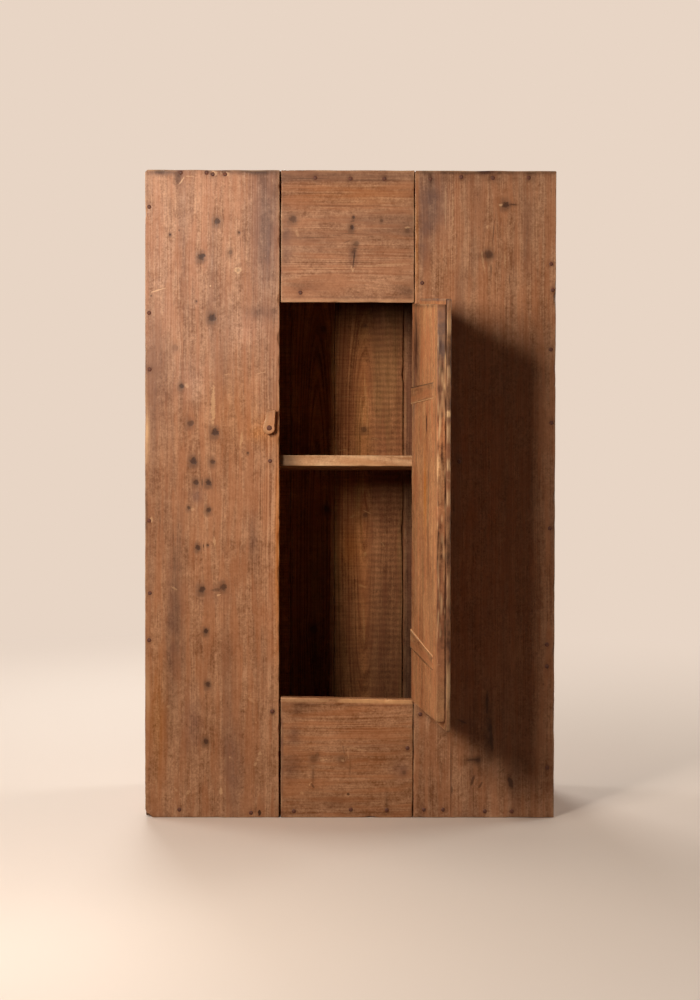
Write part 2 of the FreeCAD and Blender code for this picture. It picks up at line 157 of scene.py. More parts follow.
def piece(name, points, faces, body, node, material, fields):
    """A mesh object from arrays, with its attributes, which rides on a body and stands for a node."""
    mesh = bpy.data.meshes.new(name)
    mesh.from_pydata(points, [], faces if isinstance(faces, list) else faces.tolist())
    for label, values in fields.items():
        layer = mesh.attributes.new(label, "FLOAT_VECTOR", "POINT")
        layer.data.foreach_set("vector", np.ascontiguousarray(values, np.float32).ravel())
    mesh.shade_smooth()
    mesh.materials.append(material)
    made = placed(name, mesh)
    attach(made, body)
    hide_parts(node)
    return made


# ---------------------------------------------------------------- boards

def local_marks(face, marks, margin):
    """Each point's place relative to the nearest mark, in the mark's own half-sizes, turned by its
    angle, with the mark's strength, which fades out over the last third of the margin round it."""
    found = np.full((len(face), 3), FAR)
    found[:, 2] = 0
    best = np.full(len(face), np.inf)
    for x, z, half_x, half_z, angle, strength in marks:
        c, s = math.cos(math.radians(angle)), math.sin(math.radians(angle))
        offset = (face - np.array([x, z]) * MM) @ np.array([[c, -s], [s, c]])
        half = np.array([half_x, half_z]) * MM
        beyond = np.clip(np.abs(offset) - half, 0, None).max(1)
        near = beyond < best
        best[near] = beyond[near]
        fade = np.clip(3 * (1 - beyond[near] / margin), 0, 1)
        found[near] = np.column_stack([offset[near] / half, fade * strength])
    return found


def board_axes(size, grain):
    """The numbers of the axes along the grain, through the thickness and across the board."""
    along = "xyz".index(grain)
    thick = int(np.argmin(np.where(np.arange(3) == along, np.inf, size)))
    return along, thick, 3 - along - thick


FIELDS = ("wood", "knot", "scar", "marks", "tint", "saw")
# Which number of which attribute each effect of a patch or spot adds to.
EFFECTS = {"stain": ("marks", 0), "wear": ("marks", 1), "bloom": ("marks", 2),
           "light": ("tint", 0), "strong": ("tint", 1), "lines": ("tint", 2),
           "saw": ("saw", 0), "coarse": ("saw", 1)}
RIM = 9 * MM             # how far in from its arrises a board's lattice is finer
KNOT_MARGIN = 15 * MM    # how far outside a knot or a scar its place is still told
SCAR_MARGIN = 9 * MM
WEAR_REACH = 2.5 * MM    # how far from an arris the wood is rubbed pale
DIRT_REACH = 9 * MM      # how far from a sawn end dirt has crept in
NAIL_STAIN = 8 * MM      # how far from a nail its rust has spread
PATCH_DEPTH = 8 * MM     # how far a patch goes into the wood, where it is on one face only


def grain_fields(points, low, high, axes, seed, pith=(0, 60, 0.02), knots=(), scars=(), patches=(),
                 nails=(), lines=0.5, saw=0.0, spots=(), on_face=None):
    """The attributes of a board. The pith is a line beside the board, tilted along it, and each ring
    is a cylinder round it: ring = sqrt(across^2 + depth^2). A knot squeezes the across coordinate
    round itself, so that rings flow past it. A patch adds its effects inside an oval with soft edges,
    or inside a box with sharp ones where its power is high. A spot adds its effects round a place in
    space. Where on_face is given, patches are on that face only."""
    along, thick, wide = axes
    size = high - low
    middle = (low + high) / 2
    face = points[:, [0, 2]] if thick == 1 else points[:, sorted((wide, along))]
    upright = face[:, 1] if along == 2 else face[:, 0]
    sideways = face[:, 0] if along == 2 else face[:, 1]
    length = points[:, along] - low[along]
    squeezed = points[:, wide] - middle[wide]
    for x, z, radius, _ in knots:
        reach = radius * MM
        centre_along, centre_wide = (z * MM, x * MM) if along == 2 else (x * MM, z * MM)
        du, dv = sideways - centre_wide, upright - centre_along
        near = np.exp(-(du / (2.2 * reach)) ** 2 - (dv / (5 * reach)) ** 2)
        squeezed = squeezed - 0.6 * du * near
    knot = local_marks(face, [(x, z, r, r, 0, dark) for x, z, r, dark in knots], KNOT_MARGIN)
    side, depth, tilt = pith
    into = points[:, thick] - middle[thick] + depth * MM + tilt * (length - size[along] / 2)
    into = into + 4 * MM * ripple(points, (0.5, 0.5, 0.5), seed + 1)
    ring = np.hypot(squeezed - side * MM, into)
    shift = np.random.default_rng(seed).uniform(0, 9, 3)
    wood = np.stack([ring, squeezed + shift[1], length + shift[2]], -1)

    gaps = np.sort(np.minimum(points - low, high - points), axis=1)
    uneven = 0.5 + 0.5 * ripple(points, (0.06, 0.06, 0.06), seed + 2)
    wear = 0.55 * np.exp(-gaps[:, 1] / WEAR_REACH) * np.clip(uneven, 0, 1)
    ends = np.minimum(length, size[along] - length)
    smudge = np.clip(0.5 + 0.7 * ripple(points, (0.05,) * 3, seed + 3), 0, 1)
    stain = 0.4 * np.exp(-ends / DIRT_REACH) * smudge
    for nail in nails:
        offset = face - nail
        halo = np.exp(-(np.hypot(offset[:, 0], offset[:, 1] * 0.7) / NAIL_STAIN) ** 2)
        stain = np.maximum(stain, 0.35 * halo)
    none = np.zeros(len(points))
    fields = {"wood": wood, "knot": knot, "scar": local_marks(face, scars, SCAR_MARGIN),
              "marks": np.column_stack([stain, wear, none]),
              "tint": np.column_stack([none, none, none + lines]),
              "saw": np.column_stack([none + saw, none, none])}

    def add_effects(mask, effects):
        for effect, strength in effects.items():
            label, column = EFFECTS[effect]
            fields[label][:, column] += strength * mask

    for x, z, half_x, half_z, power, effects in patches:
        off = np.abs((face - np.array([x, z]) * MM) / (np.array([half_x, half_z]) * MM))
        mask = np.exp(-(np.minimum(off, 4) ** power).sum(1))
        if on_face is not None:
            mask = mask * np.exp(-((points[:, thick] - on_face) / PATCH_DEPTH) ** 2)
        add_effects(mask, effects)
    for centre, spread, effects in spots:
        add_effects(bell(points, centre, spread), effects)
    return fields


def weather(points, low, high, radius, nicks, seed):
    """Rounds a box lattice: each point near an arris is pulled onto a ball whose radius varies
    smoothly and grows at the nicks, so that arrises look rubbed and bruised."""
    rng = np.random.default_rng(seed)
    size = high - low
    long_axis = int(np.argmax(size))
    radii = radius * (1 + 0.35 * ripple(points, (0.09, 0.09, 0.09), seed))
    for _ in range(nicks):
        where = low + size * rng.integers(0, 2, 3)
        where[long_axis] = low[long_axis] + size[long_axis] * rng.uniform()
        spread = np.full(3, 8 * MM)
        spread[long_axis] = rng.uniform(3, 16) * MM
        radii = radii + rng.uniform(0.6, 3.0) * radius * bell(points, where, spread)
    radii = np.clip(radii, 0.3 * radius, 0.45 * size.min())[:, None]
    core = np.clip(points, low + radii, high - radii)
    away = points - core
    return core + away * radii / np.maximum(np.linalg.norm(away, axis=1, keepdims=True), 1e-9)


def settle(points, low, high, axes, warp, seed):
    """A board that has moved with age: it is slightly warped and cupped, its edges wander, and its
    ends stop up to a millimetre short."""
    along, thick, wide = axes
    out = points.copy()
    lengths = np.full(3, 0.25)
    lengths[along] = 0.9
    out[:, thick] += warp * MM * 0.5 * ripple(points, lengths, seed + 4)
    lengths[wide] = 0.07
    out[:, thick] += 0.12 * MM * ripple(points, lengths, seed + 5)
    hold = np.minimum(points[:, wide] - low[wide], high[wide] - points[:, wide])
    out[:, wide] += 0.35 * MM * ripple(points[:, [along]], (0.22,), seed + 6) * np.exp(-hold / (12 * MM))
    short = np.clip(0.4 + 0.35 * ripple(points[:, [wide]], (0.16,), seed + 7), 0, 1.2) * MM
    foot = np.exp(-(points[:, along] - low[along]) / (10 * MM))
    head = np.exp(-(high[along] - points[:, along]) / (10 * MM))
    out[:, along] += short * (foot - head)
    return np.clip(out, low, high)


def board(name, body, slot, material, grain, seed, step=6.0, radius=2.2, nicks=14, warp=0.6, span=None,
          shape=None, stands_for=None, **marks):
    """One old board: a lattice over the node's box, rounded, bruised and settled with age, then taken
    to its real outline by shape. The marks are those that grain_fields takes."""
    low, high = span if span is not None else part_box(name)
    low, high = np.array(low, float), np.array(high, float)
    points, faces = lattice_skin([lines_between(a, b, step * MM, RIM) for a, b in zip(low, high)])
    axes = board_axes(high - low, grain)
    fields = grain_fields(points, low, high, axes, seed, **marks)
    points = settle(weather(points, low, high, radius * MM, nicks, seed), low, high, axes, warp, seed)
    if shape is not None:
        points = shape(points, low, high)
    return piece(name, points, faces, body, stands_for or name, material, fields)


# ---------------------------------------------------------------- materials

def linear(colour):
    """An sRGB hex colour as the linear colour that the shader takes."""
    value = np.array([int(colour[i:i + 2], 16) for i in (1, 3, 5)]) / 255
    value = np.where(value <= 0.04045, value / 12.92, ((value + 0.055) / 1.055) ** 2.4)
    return (*value.tolist(), 1.0)


def add(tree, kind, inputs, output=0, **settings):
    """Adds one node of the kind ShaderNode..., with its settings and links, and gives back one output."""
    made = tree.nodes.new("ShaderNode" + kind)
    for key, value in settings.items():
        setattr(made, key, value)
    for key, value in inputs.items():
        if isinstance(value, bpy.types.NodeSocket):
            tree.links.new(value, made.inputs[key])
        else:
            made.inputs[key].default_value = value
    return made.outputs[output] if len(made.outputs) else made


def new_material(name):
    """A material with an empty node tree, and that tree."""
    material = bpy.data.materials.new(name)
    material.use_nodes = True
    material.node_tree.nodes.clear()
    return material, material.node_tree


DRIFT = 8 * MM           # how far the grain wanders from side to side

# Patterns that follow the grain: waves per metre through the rings, across the board and along it,
# then detail and roughness. Growth lines are about 5 mm apart, fibres 2 mm; both are drawn a little
# coarser than real ones, so that they show.
GRAIN = {"line": ((250, 0, 1.5), 1, 0.5), "band": ((75, 5, 1.2), 2, 0.5), "broad": ((22, 4, 0.8), 2, 0.5),
         "fibre": ((560, 160, 18), 3, 0.65), "streak": ((200, 60, 8), 3, 0.6),
         "pore": ((330, 150, 70), 2, 0.5), "dusk": ((16, 9, 1.8), 3, 0.5), "flow": ((60, 30, 7), 2, 0.5)}
# Patterns that don't follow it: handling, dirt and wax, from hand-sized to 4 mm. Waves per metre first.
HANDLING = {"patina": (6, 4, 0.6), "mottle": (42, 5, 0.65), "blotch": (100, 3, 0.6), "grit": (230, 3, 0.6)}
FINE_SAW = (6, 0, 180)   # waves per metre of the fine saw marks, which run across the board
COARSE_SAW = 20          # the coarse saw marks, 16 mm apart, as the wave texture counts them
# How much each pattern adds to the tone of the wood.
SHARES = {"band": 0.6, "broad": 0.7, "fibre": 1.0, "streak": 0.8, "patina": 1.2, "mottle": 1.0,
          "blotch": 0.8, "grit": 1.3}


def pine(name, pale, ruddy, deep, dusk, heart, halo, worn, grime, bloom, roughness=0.5, contrast=1.0,
         saw=False, relief=0.3, sheen=0.2):
    """Old pine. Growth lines are noise of the distance from the pith, so that they are uneven; fibres
    are noise stretched along the board. Over them come dusky bands, knots with a grey halo, stains,
    scars, wear on the arrises and, if asked, saw marks."""
    material, tree = new_material(name)
    read = {label: add(tree, "Attribute", {}, "Vector", attribute_name=label) for label in FIELDS}
    part = {label: add(tree, "SeparateXYZ", {0: read[label]}).node.outputs for label in FIELDS}
    place = add(tree, "TexCoord", {}, "Object")
    noise, mask, ragged = {}, {}, {}

    slow = add(tree, "VectorMath", {0: read["wood"], 1: (30, 30, 2.5)}, operation="MULTIPLY")
    drift = add(tree, "TexNoise", {"Vector": slow, "Scale": 1, "Detail": 2}, "Color")
    drift = add(tree, "VectorMath", {0: drift, 1: (0.5, 0.5, 0.5)}, operation="SUBTRACT")
    grain = add(tree, "VectorMath", {0: drift, 1: (DRIFT, DRIFT, 0), 2: read["wood"]},
                operation="MULTIPLY_ADD")
    patterns = {label: (grain, *row) for label, row in GRAIN.items()}
    patterns |= {label: (place, (row[0],) * 3, *row[1:]) for label, row in HANDLING.items()}
    if saw:
        patterns |= {"kerf": (place, FINE_SAW, 2, 0.5)}
    for label, (source, waves, detail, rough) in patterns.items():
        scaled = add(tree, "VectorMath", {0: source, 1: waves}, operation="MULTIPLY")
        noise[label] = add(tree, "TexNoise", {"Vector": scaled, "Scale": 1, "Detail": detail,
                                              "Roughness": rough})

    # how dark the wood is between pale and deep
    tone = 0.5 - 0.5 * contrast * sum(SHARES.values())
    for label, share in SHARES.items():
        tone = add(tree, "Math", {0: noise[label], 1: share * contrast, 2: tone}, operation="MULTIPLY_ADD")
    line = add(tree, "MapRange", {"Value": noise["line"], "From Min": 0.4, "From Max": 0.62, "To Min": -0.4,
                                  "To Max": 0.6}, interpolation_type="SMOOTHSTEP")
    drawn = add(tree, "Math", {0: noise["flow"], 1: part["tint"]["Z"]}, operation="MULTIPLY")
    drawn = add(tree, "Math", {0: drawn, 1: 1.5 * contrast}, operation="MULTIPLY")
    tone = add(tree, "Math", {0: line, 1: drawn, 2: tone}, operation="MULTIPLY_ADD")

    # ragged distances from a knot's heart, from its halo, which trails along the grain, and from a scar
    for label, source, stretch, offset, rough in (
            ("heart", "knot", (1, 1, 0), (0, 0, 0), 3.2),
            ("halo", "knot", (0.85, 0.55, 0), (0.3, 0.25, 0), 4.5),
            ("scar", "scar", (1, 1, 0), (0, 0, 0), 2.4)):
        moved = add(tree, "VectorMath", {0: read[source], 1: stretch, 2: offset}, operation="MULTIPLY_ADD")
        away = add(tree, "VectorMath", {0: moved}, "Value", operation="LENGTH")
        away = add(tree, "Math", {0: away, 1: 0.5 * rough}, operation="SUBTRACT")
        for pattern in ("blotch", "grit"):
            away = add(tree, "Math", {0: noise[pattern], 1: 0.5 * rough, 2: away}, operation="MULTIPLY_ADD")
        ragged[label] = away
    for label, value, start, end, most in (
            ("ruddy", noise["flow"], 0.4, 0.64, 0.6), ("dusk", noise["dusk"], 0.5, 0.74, 0.45),
            ("pore", noise["pore"], 0.66, 0.76, 0.4), ("speck", noise["blotch"], 0.68, 0.76, 0.38),
            ("chip", noise["pore"], 0.3, 0.22, 0.45),
            ("halo", ragged["halo"], 2.7, 0.6, 0.85), ("heart", ragged["heart"], 1.65, 0.8, 0.92),
            ("scar", ragged["scar"], 1.1, 0.6, 1.0)):
        mask[label] = add(tree, "MapRange", {"Value": value, "From Min": start, "From Max": end,
                                             "To Max": most}, interpolation_type="SMOOTHSTEP")
    for label, base, strength in (
            ("halo", mask["halo"], part["knot"]["Z"]), ("heart", mask["heart"], part["knot"]["Z"]),
            ("crack", mask["scar"], part["scar"]["Z"]), ("scar", mask["scar"], part["scar"]["Z"]),
            ("stain", noise["mottle"], part["marks"]["X"]),
            ("wear", noise["mottle"], part["marks"]["Y"]), ("bloom", noise["mottle"], part["marks"]["Z"])):
        gain = {"stain": 2.0, "wear": 2.0, "bloom": 2.0, "crack": -1.0}.get(label, 1.0)
        both = add(tree, "Math", {0: base, 1: strength}, operation="MULTIPLY")
        mask[label] = add(tree, "Math", {0: both, 1: gain}, operation="MULTIPLY", use_clamp=True)

    shade = linear(pale)
    layers = [(tone, deep), (mask["ruddy"], ruddy), (mask["dusk"], dusk), (mask["bloom"], bloom),
              (mask["pore"], grime), (mask["speck"], grime), (mask["chip"], worn), (mask["halo"], halo),
              (mask["stain"], grime), (mask["wear"], worn), (mask["scar"], worn), (mask["crack"], heart),
              (mask["heart"], heart)]
    if saw:
        fine = add(tree, "MapRange", {"Value": noise["kerf"], "From Min": 0.38, "From Max": 0.64},
                   interpolation_type="SMOOTHSTEP")
        wide = add(tree, "TexWave", {"Vector": place, "Scale": COARSE_SAW, "Distortion": 1.6, "Detail": 1,
                                     "Detail Scale": 1.5}, "Fac", bands_direction="Z")
        marks = add(tree, "Mix", {0: part["saw"]["Y"], 2: fine, 3: wide})
        kerf = add(tree, "Math", {0: marks, 1: part["saw"]["X"]}, operation="MULTIPLY")
        layers.append((kerf, grime))
    for amount, colour in layers:
        shade = add(tree, "Mix", {0: amount, 6: shade, 7: linear(colour)}, 2, data_type="RGBA")
    light = add(tree, "Math", {0: part["tint"]["X"], 1: 1.0}, operation="ADD")
    strong = add(tree, "Math", {0: part["tint"]["Y"], 1: 1.0}, operation="ADD")
    shade = add(tree, "HueSaturation", {"Color": shade, "Value": light, "Saturation": strong})

    height = add(tree, "Math", {0: noise["fibre"], 1: 0.9}, operation="MULTIPLY")
    for source, share in ((line, 0.4), (mask["pore"], -0.8), (mask["heart"], -1.0), (noise["mottle"], 1.2),
                          (noise["grit"], 0.5), *([(kerf, -1.5)] if saw else [])):
        height = add(tree, "Math", {0: source, 1: share, 2: height}, operation="MULTIPLY_ADD")
    normal = add(tree, "Bump", {"Height": height, "Distance": relief * MM})
    gloss = add(tree, "Math", {0: noise["mottle"], 1: 0.35, 2: roughness - 0.17}, operation="MULTIPLY_ADD")
    surface = add(tree, "BsdfPrincipled", {"Base Color": shade, "Roughness": gloss, "Normal": normal,
                                           "Specular IOR Level": sheen})
    add(tree, "OutputMaterial", {"Surface": surface})
    return material


def iron(name, dark, rust, roughness, metal):
    """Forged iron: dark scale, brown rust in the hollows of the hammer marks, dull highlights."""
    material, tree = new_material(name)
    place = add(tree, "TexCoord", {}, "Object")
    dents = add(tree, "TexNoise", {"Vector": place, "Scale": 240, "Detail": 3})
    rusty = add(tree, "TexNoise", {"Vector": place, "Scale": 420, "Detail": 5, "Roughness": 0.7})
    mask = add(tree, "MapRange", {"Value": rusty, "From Min": 0.4, "From Max": 0.62},
               interpolation_type="SMOOTHSTEP")
    colour = add(tree, "Mix", {0: mask, 6: linear(dark), 7: linear(rust)}, 2, data_type="RGBA")
    gloss = add(tree, "Math", {0: mask, 1: 0.25, 2: roughness}, operation="MULTIPLY_ADD")
    height = add(tree, "Math", {0: rusty, 1: 0.3, 2: dents}, operation="MULTIPLY_ADD")
    normal = add(tree, "Bump", {"Height": height, "Distance": 0.5 * MM})
    surface = add(tree, "BsdfPrincipled", {"Base Color": colour, "Roughness": gloss, "Metallic": metal,
                                           "Normal": normal})
    add(tree, "OutputMaterial", {"Surface": surface})
    return material


# Heart pine planed by hand and waxed for generations: reddish brown, satin, fine dark grain lines.
waxed_pine = pine("waxed_pine_board", pale="#cc9a76", ruddy="#b07653", deep="#835538", dusk="#7e5c48",
                  heart="#442a1c", halo="#76523c", worn="#dfb186", grime="#4c2d1d", bloom="#7d5a4c",
                  roughness=0.44)
# The same pine inside, never waxed: browner and matt, with the saw's marks left on.
sawn_pine = pine("sawn_pine_board", pale="#c68450", ruddy="#985a34", deep="#6d3c1e", dusk="#92703a",
                 heart="#3a2216", halo="#64422a", worn="#cc985e", grime="#4a2612", bloom="#8a7058",
                 roughness=0.7, contrast=0.8, saw=True, relief=0.45, sheen=0.08)
# Shelf and battens: dry pale pine.
dry_pine = pine("dry_pine_board", pale="#e6ba8c", ruddy="#cf9868", deep="#aa7850", dusk="#b68b60",
                heart="#5a3a26", halo="#8a6a50", worn="#eecb9a", grime="#6f4a30", bloom="#a08a74",
                roughness=0.68, contrast=0.8)
# The door, handled every day: more orange than the case.
door_pine = pine("handled_pine_door", pale="#e3a873", ruddy="#c87c50", deep="#8d5432", dusk="#83603f",
                 heart="#3c2417", halo="#6a503c", worn="#e6b886", grime="#4c2c1b", bloom="#80665a",
                 roughness=0.48)
# The turn button: close-grained wood polished by thumbs.
button_wood = pine("thumb_worn_wood", pale="#d8a472", ruddy="#c8885a", deep="#a4683c", dusk="#a9744a",
                   heart="#33200f", halo="#6a503c", worn="#e3b686", grime="#5e3a22", bloom="#a08570",
                   roughness=0.42, contrast=0.5, sheen=0.35)
# Blacksmith's iron with its fire scale and old rust.
forged_iron = iron("forged_iron_hinge", dark="#2b2522", rust="#4a3226", roughness=0.5, metal=0.6)
# Cut nails, rusted brown and waxed over with the boards.
nail_iron = iron("rusted_iron_nail", dark="#4b2f22", rust="#763f28", roughness=0.55, metal=0.15)

# Body, slot and material of each kind of board.
WAXED = ("case", "waxed_pine", waxed_pine)
SAWN = ("case", "bare_pine", sawn_pine)
DRY = ("case", "bare_pine", dry_pine)
DOOR = ("door", "door_pine", door_pine)


# ---------------------------------------------------------------- iron stays as it is in the solids

for node, thing in frame["nodes"].items():
    if "nails" in node or "hinge" in node or node == "button_pivot":
        thing.data.materials.clear()
        thing.data.materials.append(forged_iron if "leaf" in node or "pin" in node else nail_iron)

front_nails = np.concatenate([centres(node, 0, 2) for node in (
    "front_top_nails", "front_bottom_nails", "front_left_nails", "front_right_nails",
    "front_batten_nails", "shelf_front_nails", "hinge_stile_nails", "button_pivot")])
back_nails = centres("back_nails", 0, 2)


# ---------------------------------------------------------------- front

# Knots in millimetres: across, up, radius, and how dark.
LEFT_KNOTS = [
    (-333, 1492, 6, 0.9), (-371, 1404, 6.5, 1), (-300, 1415, 4, 0.5), (-345, 1252, 7, 1),
    (-281, 1371, 3.5, 0.4), (-421, 1082, 4.5, 0.9), (-438, 1177, 6, 0.3), (-399, 988, 6, 0.7),
    (-337, 966, 7, 1), (-391, 894, 6.5, 1), (-344, 892, 5, 0.8), (-385, 841, 5, 0.9), (-353, 840, 5.5, 1),
    (-403, 777, 3.5, 0.8), (-353, 772, 5, 0.9), (-380, 678, 5, 0.9), (-370, 572, 6, 0.9),
    (-316, 579, 6.5, 0.8), (-360, 468, 4.5, 1), (-355, 335, 5, 0.9), (-360, 191, 5, 0.9),
    (-450, 1459, 2.2, 1), (-279, 1465, 2.2, 0.8), (-385, 1293, 2, 0.7), (-191, 267, 2.5, 1),
    (-256, 915, 2, 0.8), (-356, 684, 2, 0.8)]
TOP_KNOTS = [
    (-144, 1498, 6.5, 0.7), (3, 1478, 4.5, 1), (7, 1503, 2.5, 0.9), (77, 1495, 3, 0.6), (141, 1471, 5, 0.5),
    (8, 1418, 4.5, 0.6), (14, 1436, 5, 0.5)]
RIGHT_KNOTS = [
    (386, 1536, 6.5, 0.9), (344, 1412, 7.5, 0.75), (322, 145, 4.5, 0.7)]
BOTTOM_KNOTS = [
    (-18, 146, 8.5, 0.3), (-90, 148, 7, 0.4), (-80, 160, 4, 0.35), (137, 115, 4, 0.4)]

# Scars: across, up, half-width, half-height, turn in degrees, strength.
LEFT_SCARS = [
    (-340, 1611, 7, 7, 0, 0.55), (-310, 1611, 7, 7, 0, 0.5), (-498, 747, 6, 6, 0, 0.5),
    (-226, 12, 5, 9, 0, -1.0), (-497, 1306, 3, 3, 0, -0.6), (-428, 1470, 2.5, 2.5, 0, -0.6),
    (-336, 572, 14, 4, 8, -0.5), (-475, 747, 2, 10, 0, -0.3), (-440, 670, 3, 60, 2, -0.25),
    (-343, 1034, 7, 52, 0, 0.5), (-272, 950, 4, 20, -6, 0.45), (-481, 1320, 21, 1.6, 17, 0.9),
    (-422, 1592, 11, 1.8, 52, 0.6), (-400, 1604, 14, 1.8, 0, 0.3), (-350, 1331, 2.5, 2.5, 0, 0.9),
    (-281, 1371, 9, 9, 0, 0.8), (-310, 1110, 13, 1.6, 12, 0.4), (-410, 1083, 5, 7, 20, 0.45),
    (-394, 773, 5, 4, 0, 0.4), (-328, 559, 7, 3, 10, 0.75), (-440, 576, 9, 2.5, -30, 0.5),
    (-339, 692, 3.5, 12, 0, 0.5), (-322, 67, 5, 10, 0, 0.65), (-224, 161, 5, 6, 30, 0.5),
    (-236, 135, 7, 4, 40, 0.45), (-435, 70, 7, 4, -50, 0.35), (-405, 62, 9, 5, 40, 0.35),
    (-255, 313, 13, 1.2, 0, 0.35), (-255, 319, 13, 1.2, 0, 0.35), (-247, 296, 12, 4, -35, 0.3),
    (-455, 279, 5, 4, 0, 0.4), (-300, 152, 3, 3, 0, 0.4), (-222, 1115, 14, 1.6, 15, 0.35)]
TOP_SCARS = [
    (4, 1374, 2.2, 9, 12, 0.7), (8, 1402, 2.2, 22, -6, -0.8), (-10, 1442, 9, 1.6, 20, -0.4),
    (-134, 1463, 4, 10, 10, 0.3), (-100, 1599, 60, 1.1, -1, -0.5), (70, 1596, 70, 1.0, 1, -0.5),
    (10, 1462, 50, 1.3, -2, -0.4), (-90, 1452, 60, 1.2, 1, -0.35), (141, 1478, 8, 3, 10, 0.45),
    (-60, 1528, 60, 1.0, 0, 0.3), (60, 1383, 90, 0.9, 0, 0.3), (-60, 1376, 90, 0.9, 0, 0.3),
    (120, 1388, 50, 0.9, 0, 0.35)]
RIGHT_SCARS = [
    (404, 1536, 12, 2.5, -6, -0.6), (356, 1470, 2, 34, -4, -0.6), (350, 1374, 2, 16, 0, -0.6),
    (396, 1350, 2, 16, 0, -0.5), (344, 292, 4, 30, 0, -0.8), (355, 200, 5, 44, 4, -0.7),
    (310, 146, 20, 3, 6, -0.6), (282, 242, 16, 3, -25, -0.6), (309, 95, 4, 16, -20, -0.7),
    (328, 82, 3.5, 11, -30, -0.6), (403, 90, 6.5, 18, 14, -0.85), (384, 120, 10, 2, 40, -0.4),
    (256, 70, 3, 8, 0, -0.6), (254, 100, 1.6, 110, 0, -0.7), (198, 300, 5, 5, 0, -0.5),
    (374, 1535, 6, 3.5, 20, 0.7), (340, 1480, 3, 5, 0, 0.5), (385, 1400, 3, 22, 0, 0.3),
    (330, 1395, 3, 26, 8, 0.35), (236, 1530, 2, 60, 0, 0.3), (254, 1520, 2, 60, 0, 0.3)]
BOTTOM_SCARS = [
    (-15, 172, 2, 16, 12, -0.35), (-92, 80, 3, 7, 30, -0.6), (-4, 60, 4, 4, 0, -0.8),
    (-17, 145, 4, 4, 0, 0.6), (-65, 146, 12, 2, 5, 0.5), (16, 175, 28, 2.2, -8, 0.3),
    (-98, 85, 6, 3, 50, 0.5), (-120, 62, 5, 4, 0, 0.35), (-4, 160, 2, 16, 8, 0.25)]

# Patches: middle across and up, half-widths, power, and what they add.
LEFT_PATCHES = [
    # The patch at -400, 1600 is a painted highlight: the lamp's sheen on the upper left, as a paler colour.
    (-345, 500, 260, 620, 8, {"strong": 0.06}), (-400, 1600, 180, 260, 2, {"light": 0.15}),
    (-300, 780, 260, 220, 2, {"light": -0.07}), (-440, 300, 120, 300, 2, {"light": -0.08}),
    (-475, 1090, 30, 130, 2, {"light": -0.08, "bloom": 0.15}),
    (-400, 1090, 40, 60, 2, {"strong": -0.08, "light": 0.04}), (-300, 1030, 60, 120, 2, {"strong": 0.06}),
    (-215, 1480, 30, 170, 2, {"light": -0.12, "strong": -0.1, "bloom": 0.45, "stain": 0.1}),
    (-204, 1430, 7, 60, 2, {"bloom": 0.4}), (-225, 1264, 46, 18, 2, {"light": -0.2, "bloom": 0.3}),
    # A painted highlight: the wax's sheen, as a paler patch.
    (-262, 1222, 46, 40, 2, {"light": 0.19, "strong": -0.06}),
    (-467, 1615, 34, 8, 2, {"stain": 0.8, "bloom": 0.4, "light": -0.1}),
    (-430, 1597, 9, 18, 2, {"stain": 0.7, "light": -0.1}), (-356, 1617, 9, 6, 2, {"stain": 0.5}),
    (-250, 1616, 90, 7, 2, {"stain": 0.75, "light": -0.1}), (-508, 1580, 8, 40, 2, {"stain": 0.3}),
    (-450, 1530, 8, 80, 2, {"light": -0.12}), (-195, 800, 34, 420, 2, {"light": 0.05, "lines": 0.9}),
    (-182, 690, 7, 300, 2, {"light": 0.18, "strong": 0.12}),
    (-205, 975, 40, 40, 2, {"light": 0.1, "strong": 0.1}),
    (-235, 962, 18, 18, 2, {"light": 0.1, "strong": 0.06}), (-383, 807, 16, 22, 2, {"bloom": 0.6}),
    (-243, 700, 12, 60, 2, {"light": -0.18, "bloom": 0.3}),
    (-444, 480, 16, 160, 2, {"light": -0.24, "bloom": 0.4}), (-454, 300, 16, 120, 2, {"light": -0.14}),
    (-434, 560, 4, 90, 2, {"light": -0.15}), (-480, 250, 20, 150, 2, {"strong": 0.1}),
    (-395, 240, 22, 70, 2, {"light": 0.06, "bloom": 0.45}),
    (-292, 130, 24, 110, 2, {"bloom": 0.4, "light": -0.05}), (-345, 560, 50, 30, 2, {"bloom": 0.2}),
    (-508, 960, 5, 55, 2, {"wear": 0.9}), (-509, 780, 4, 70, 2, {"stain": 0.5}),
    (-506, 300, 6, 60, 2, {"wear": 0.5})]
TOP_PATCHES = [
    (0, 1450, 260, 260, 8, {"strong": 0.04, "light": -0.03, "bloom": 0.06}),
    (8, 1408, 12, 26, 2, {"stain": 0.2, "bloom": 0.3}), (0, 1425, 14, 60, 2, {"light": -0.1}),
    (-160, 1440, 14, 60, 2, {"bloom": 0.5, "light": -0.06}), (140, 1320, 26, 22, 2, {"stain": 0.5}),
    (0, 1560, 180, 30, 2, {"strong": 0.08}), (0, 1532, 110, 1.6, 2, {"stain": 0.5}),
    (-90, 1562, 90, 1.4, 2, {"stain": 0.45}), (60, 1445, 90, 8, 2, {"light": -0.08}),
    (0, 1295, 180, 5, 8, {"wear": 0.25, "light": 0.03}), (0, 1303, 180, 1.5, 4, {"stain": 0.4}),
    (0, 1390, 170, 30, 2, {"lines": 0.6}), (0, 1605, 180, 9, 2, {"stain": 0.2}),
    (-110, 1330, 40, 12, 2, {"stain": 0.3})]
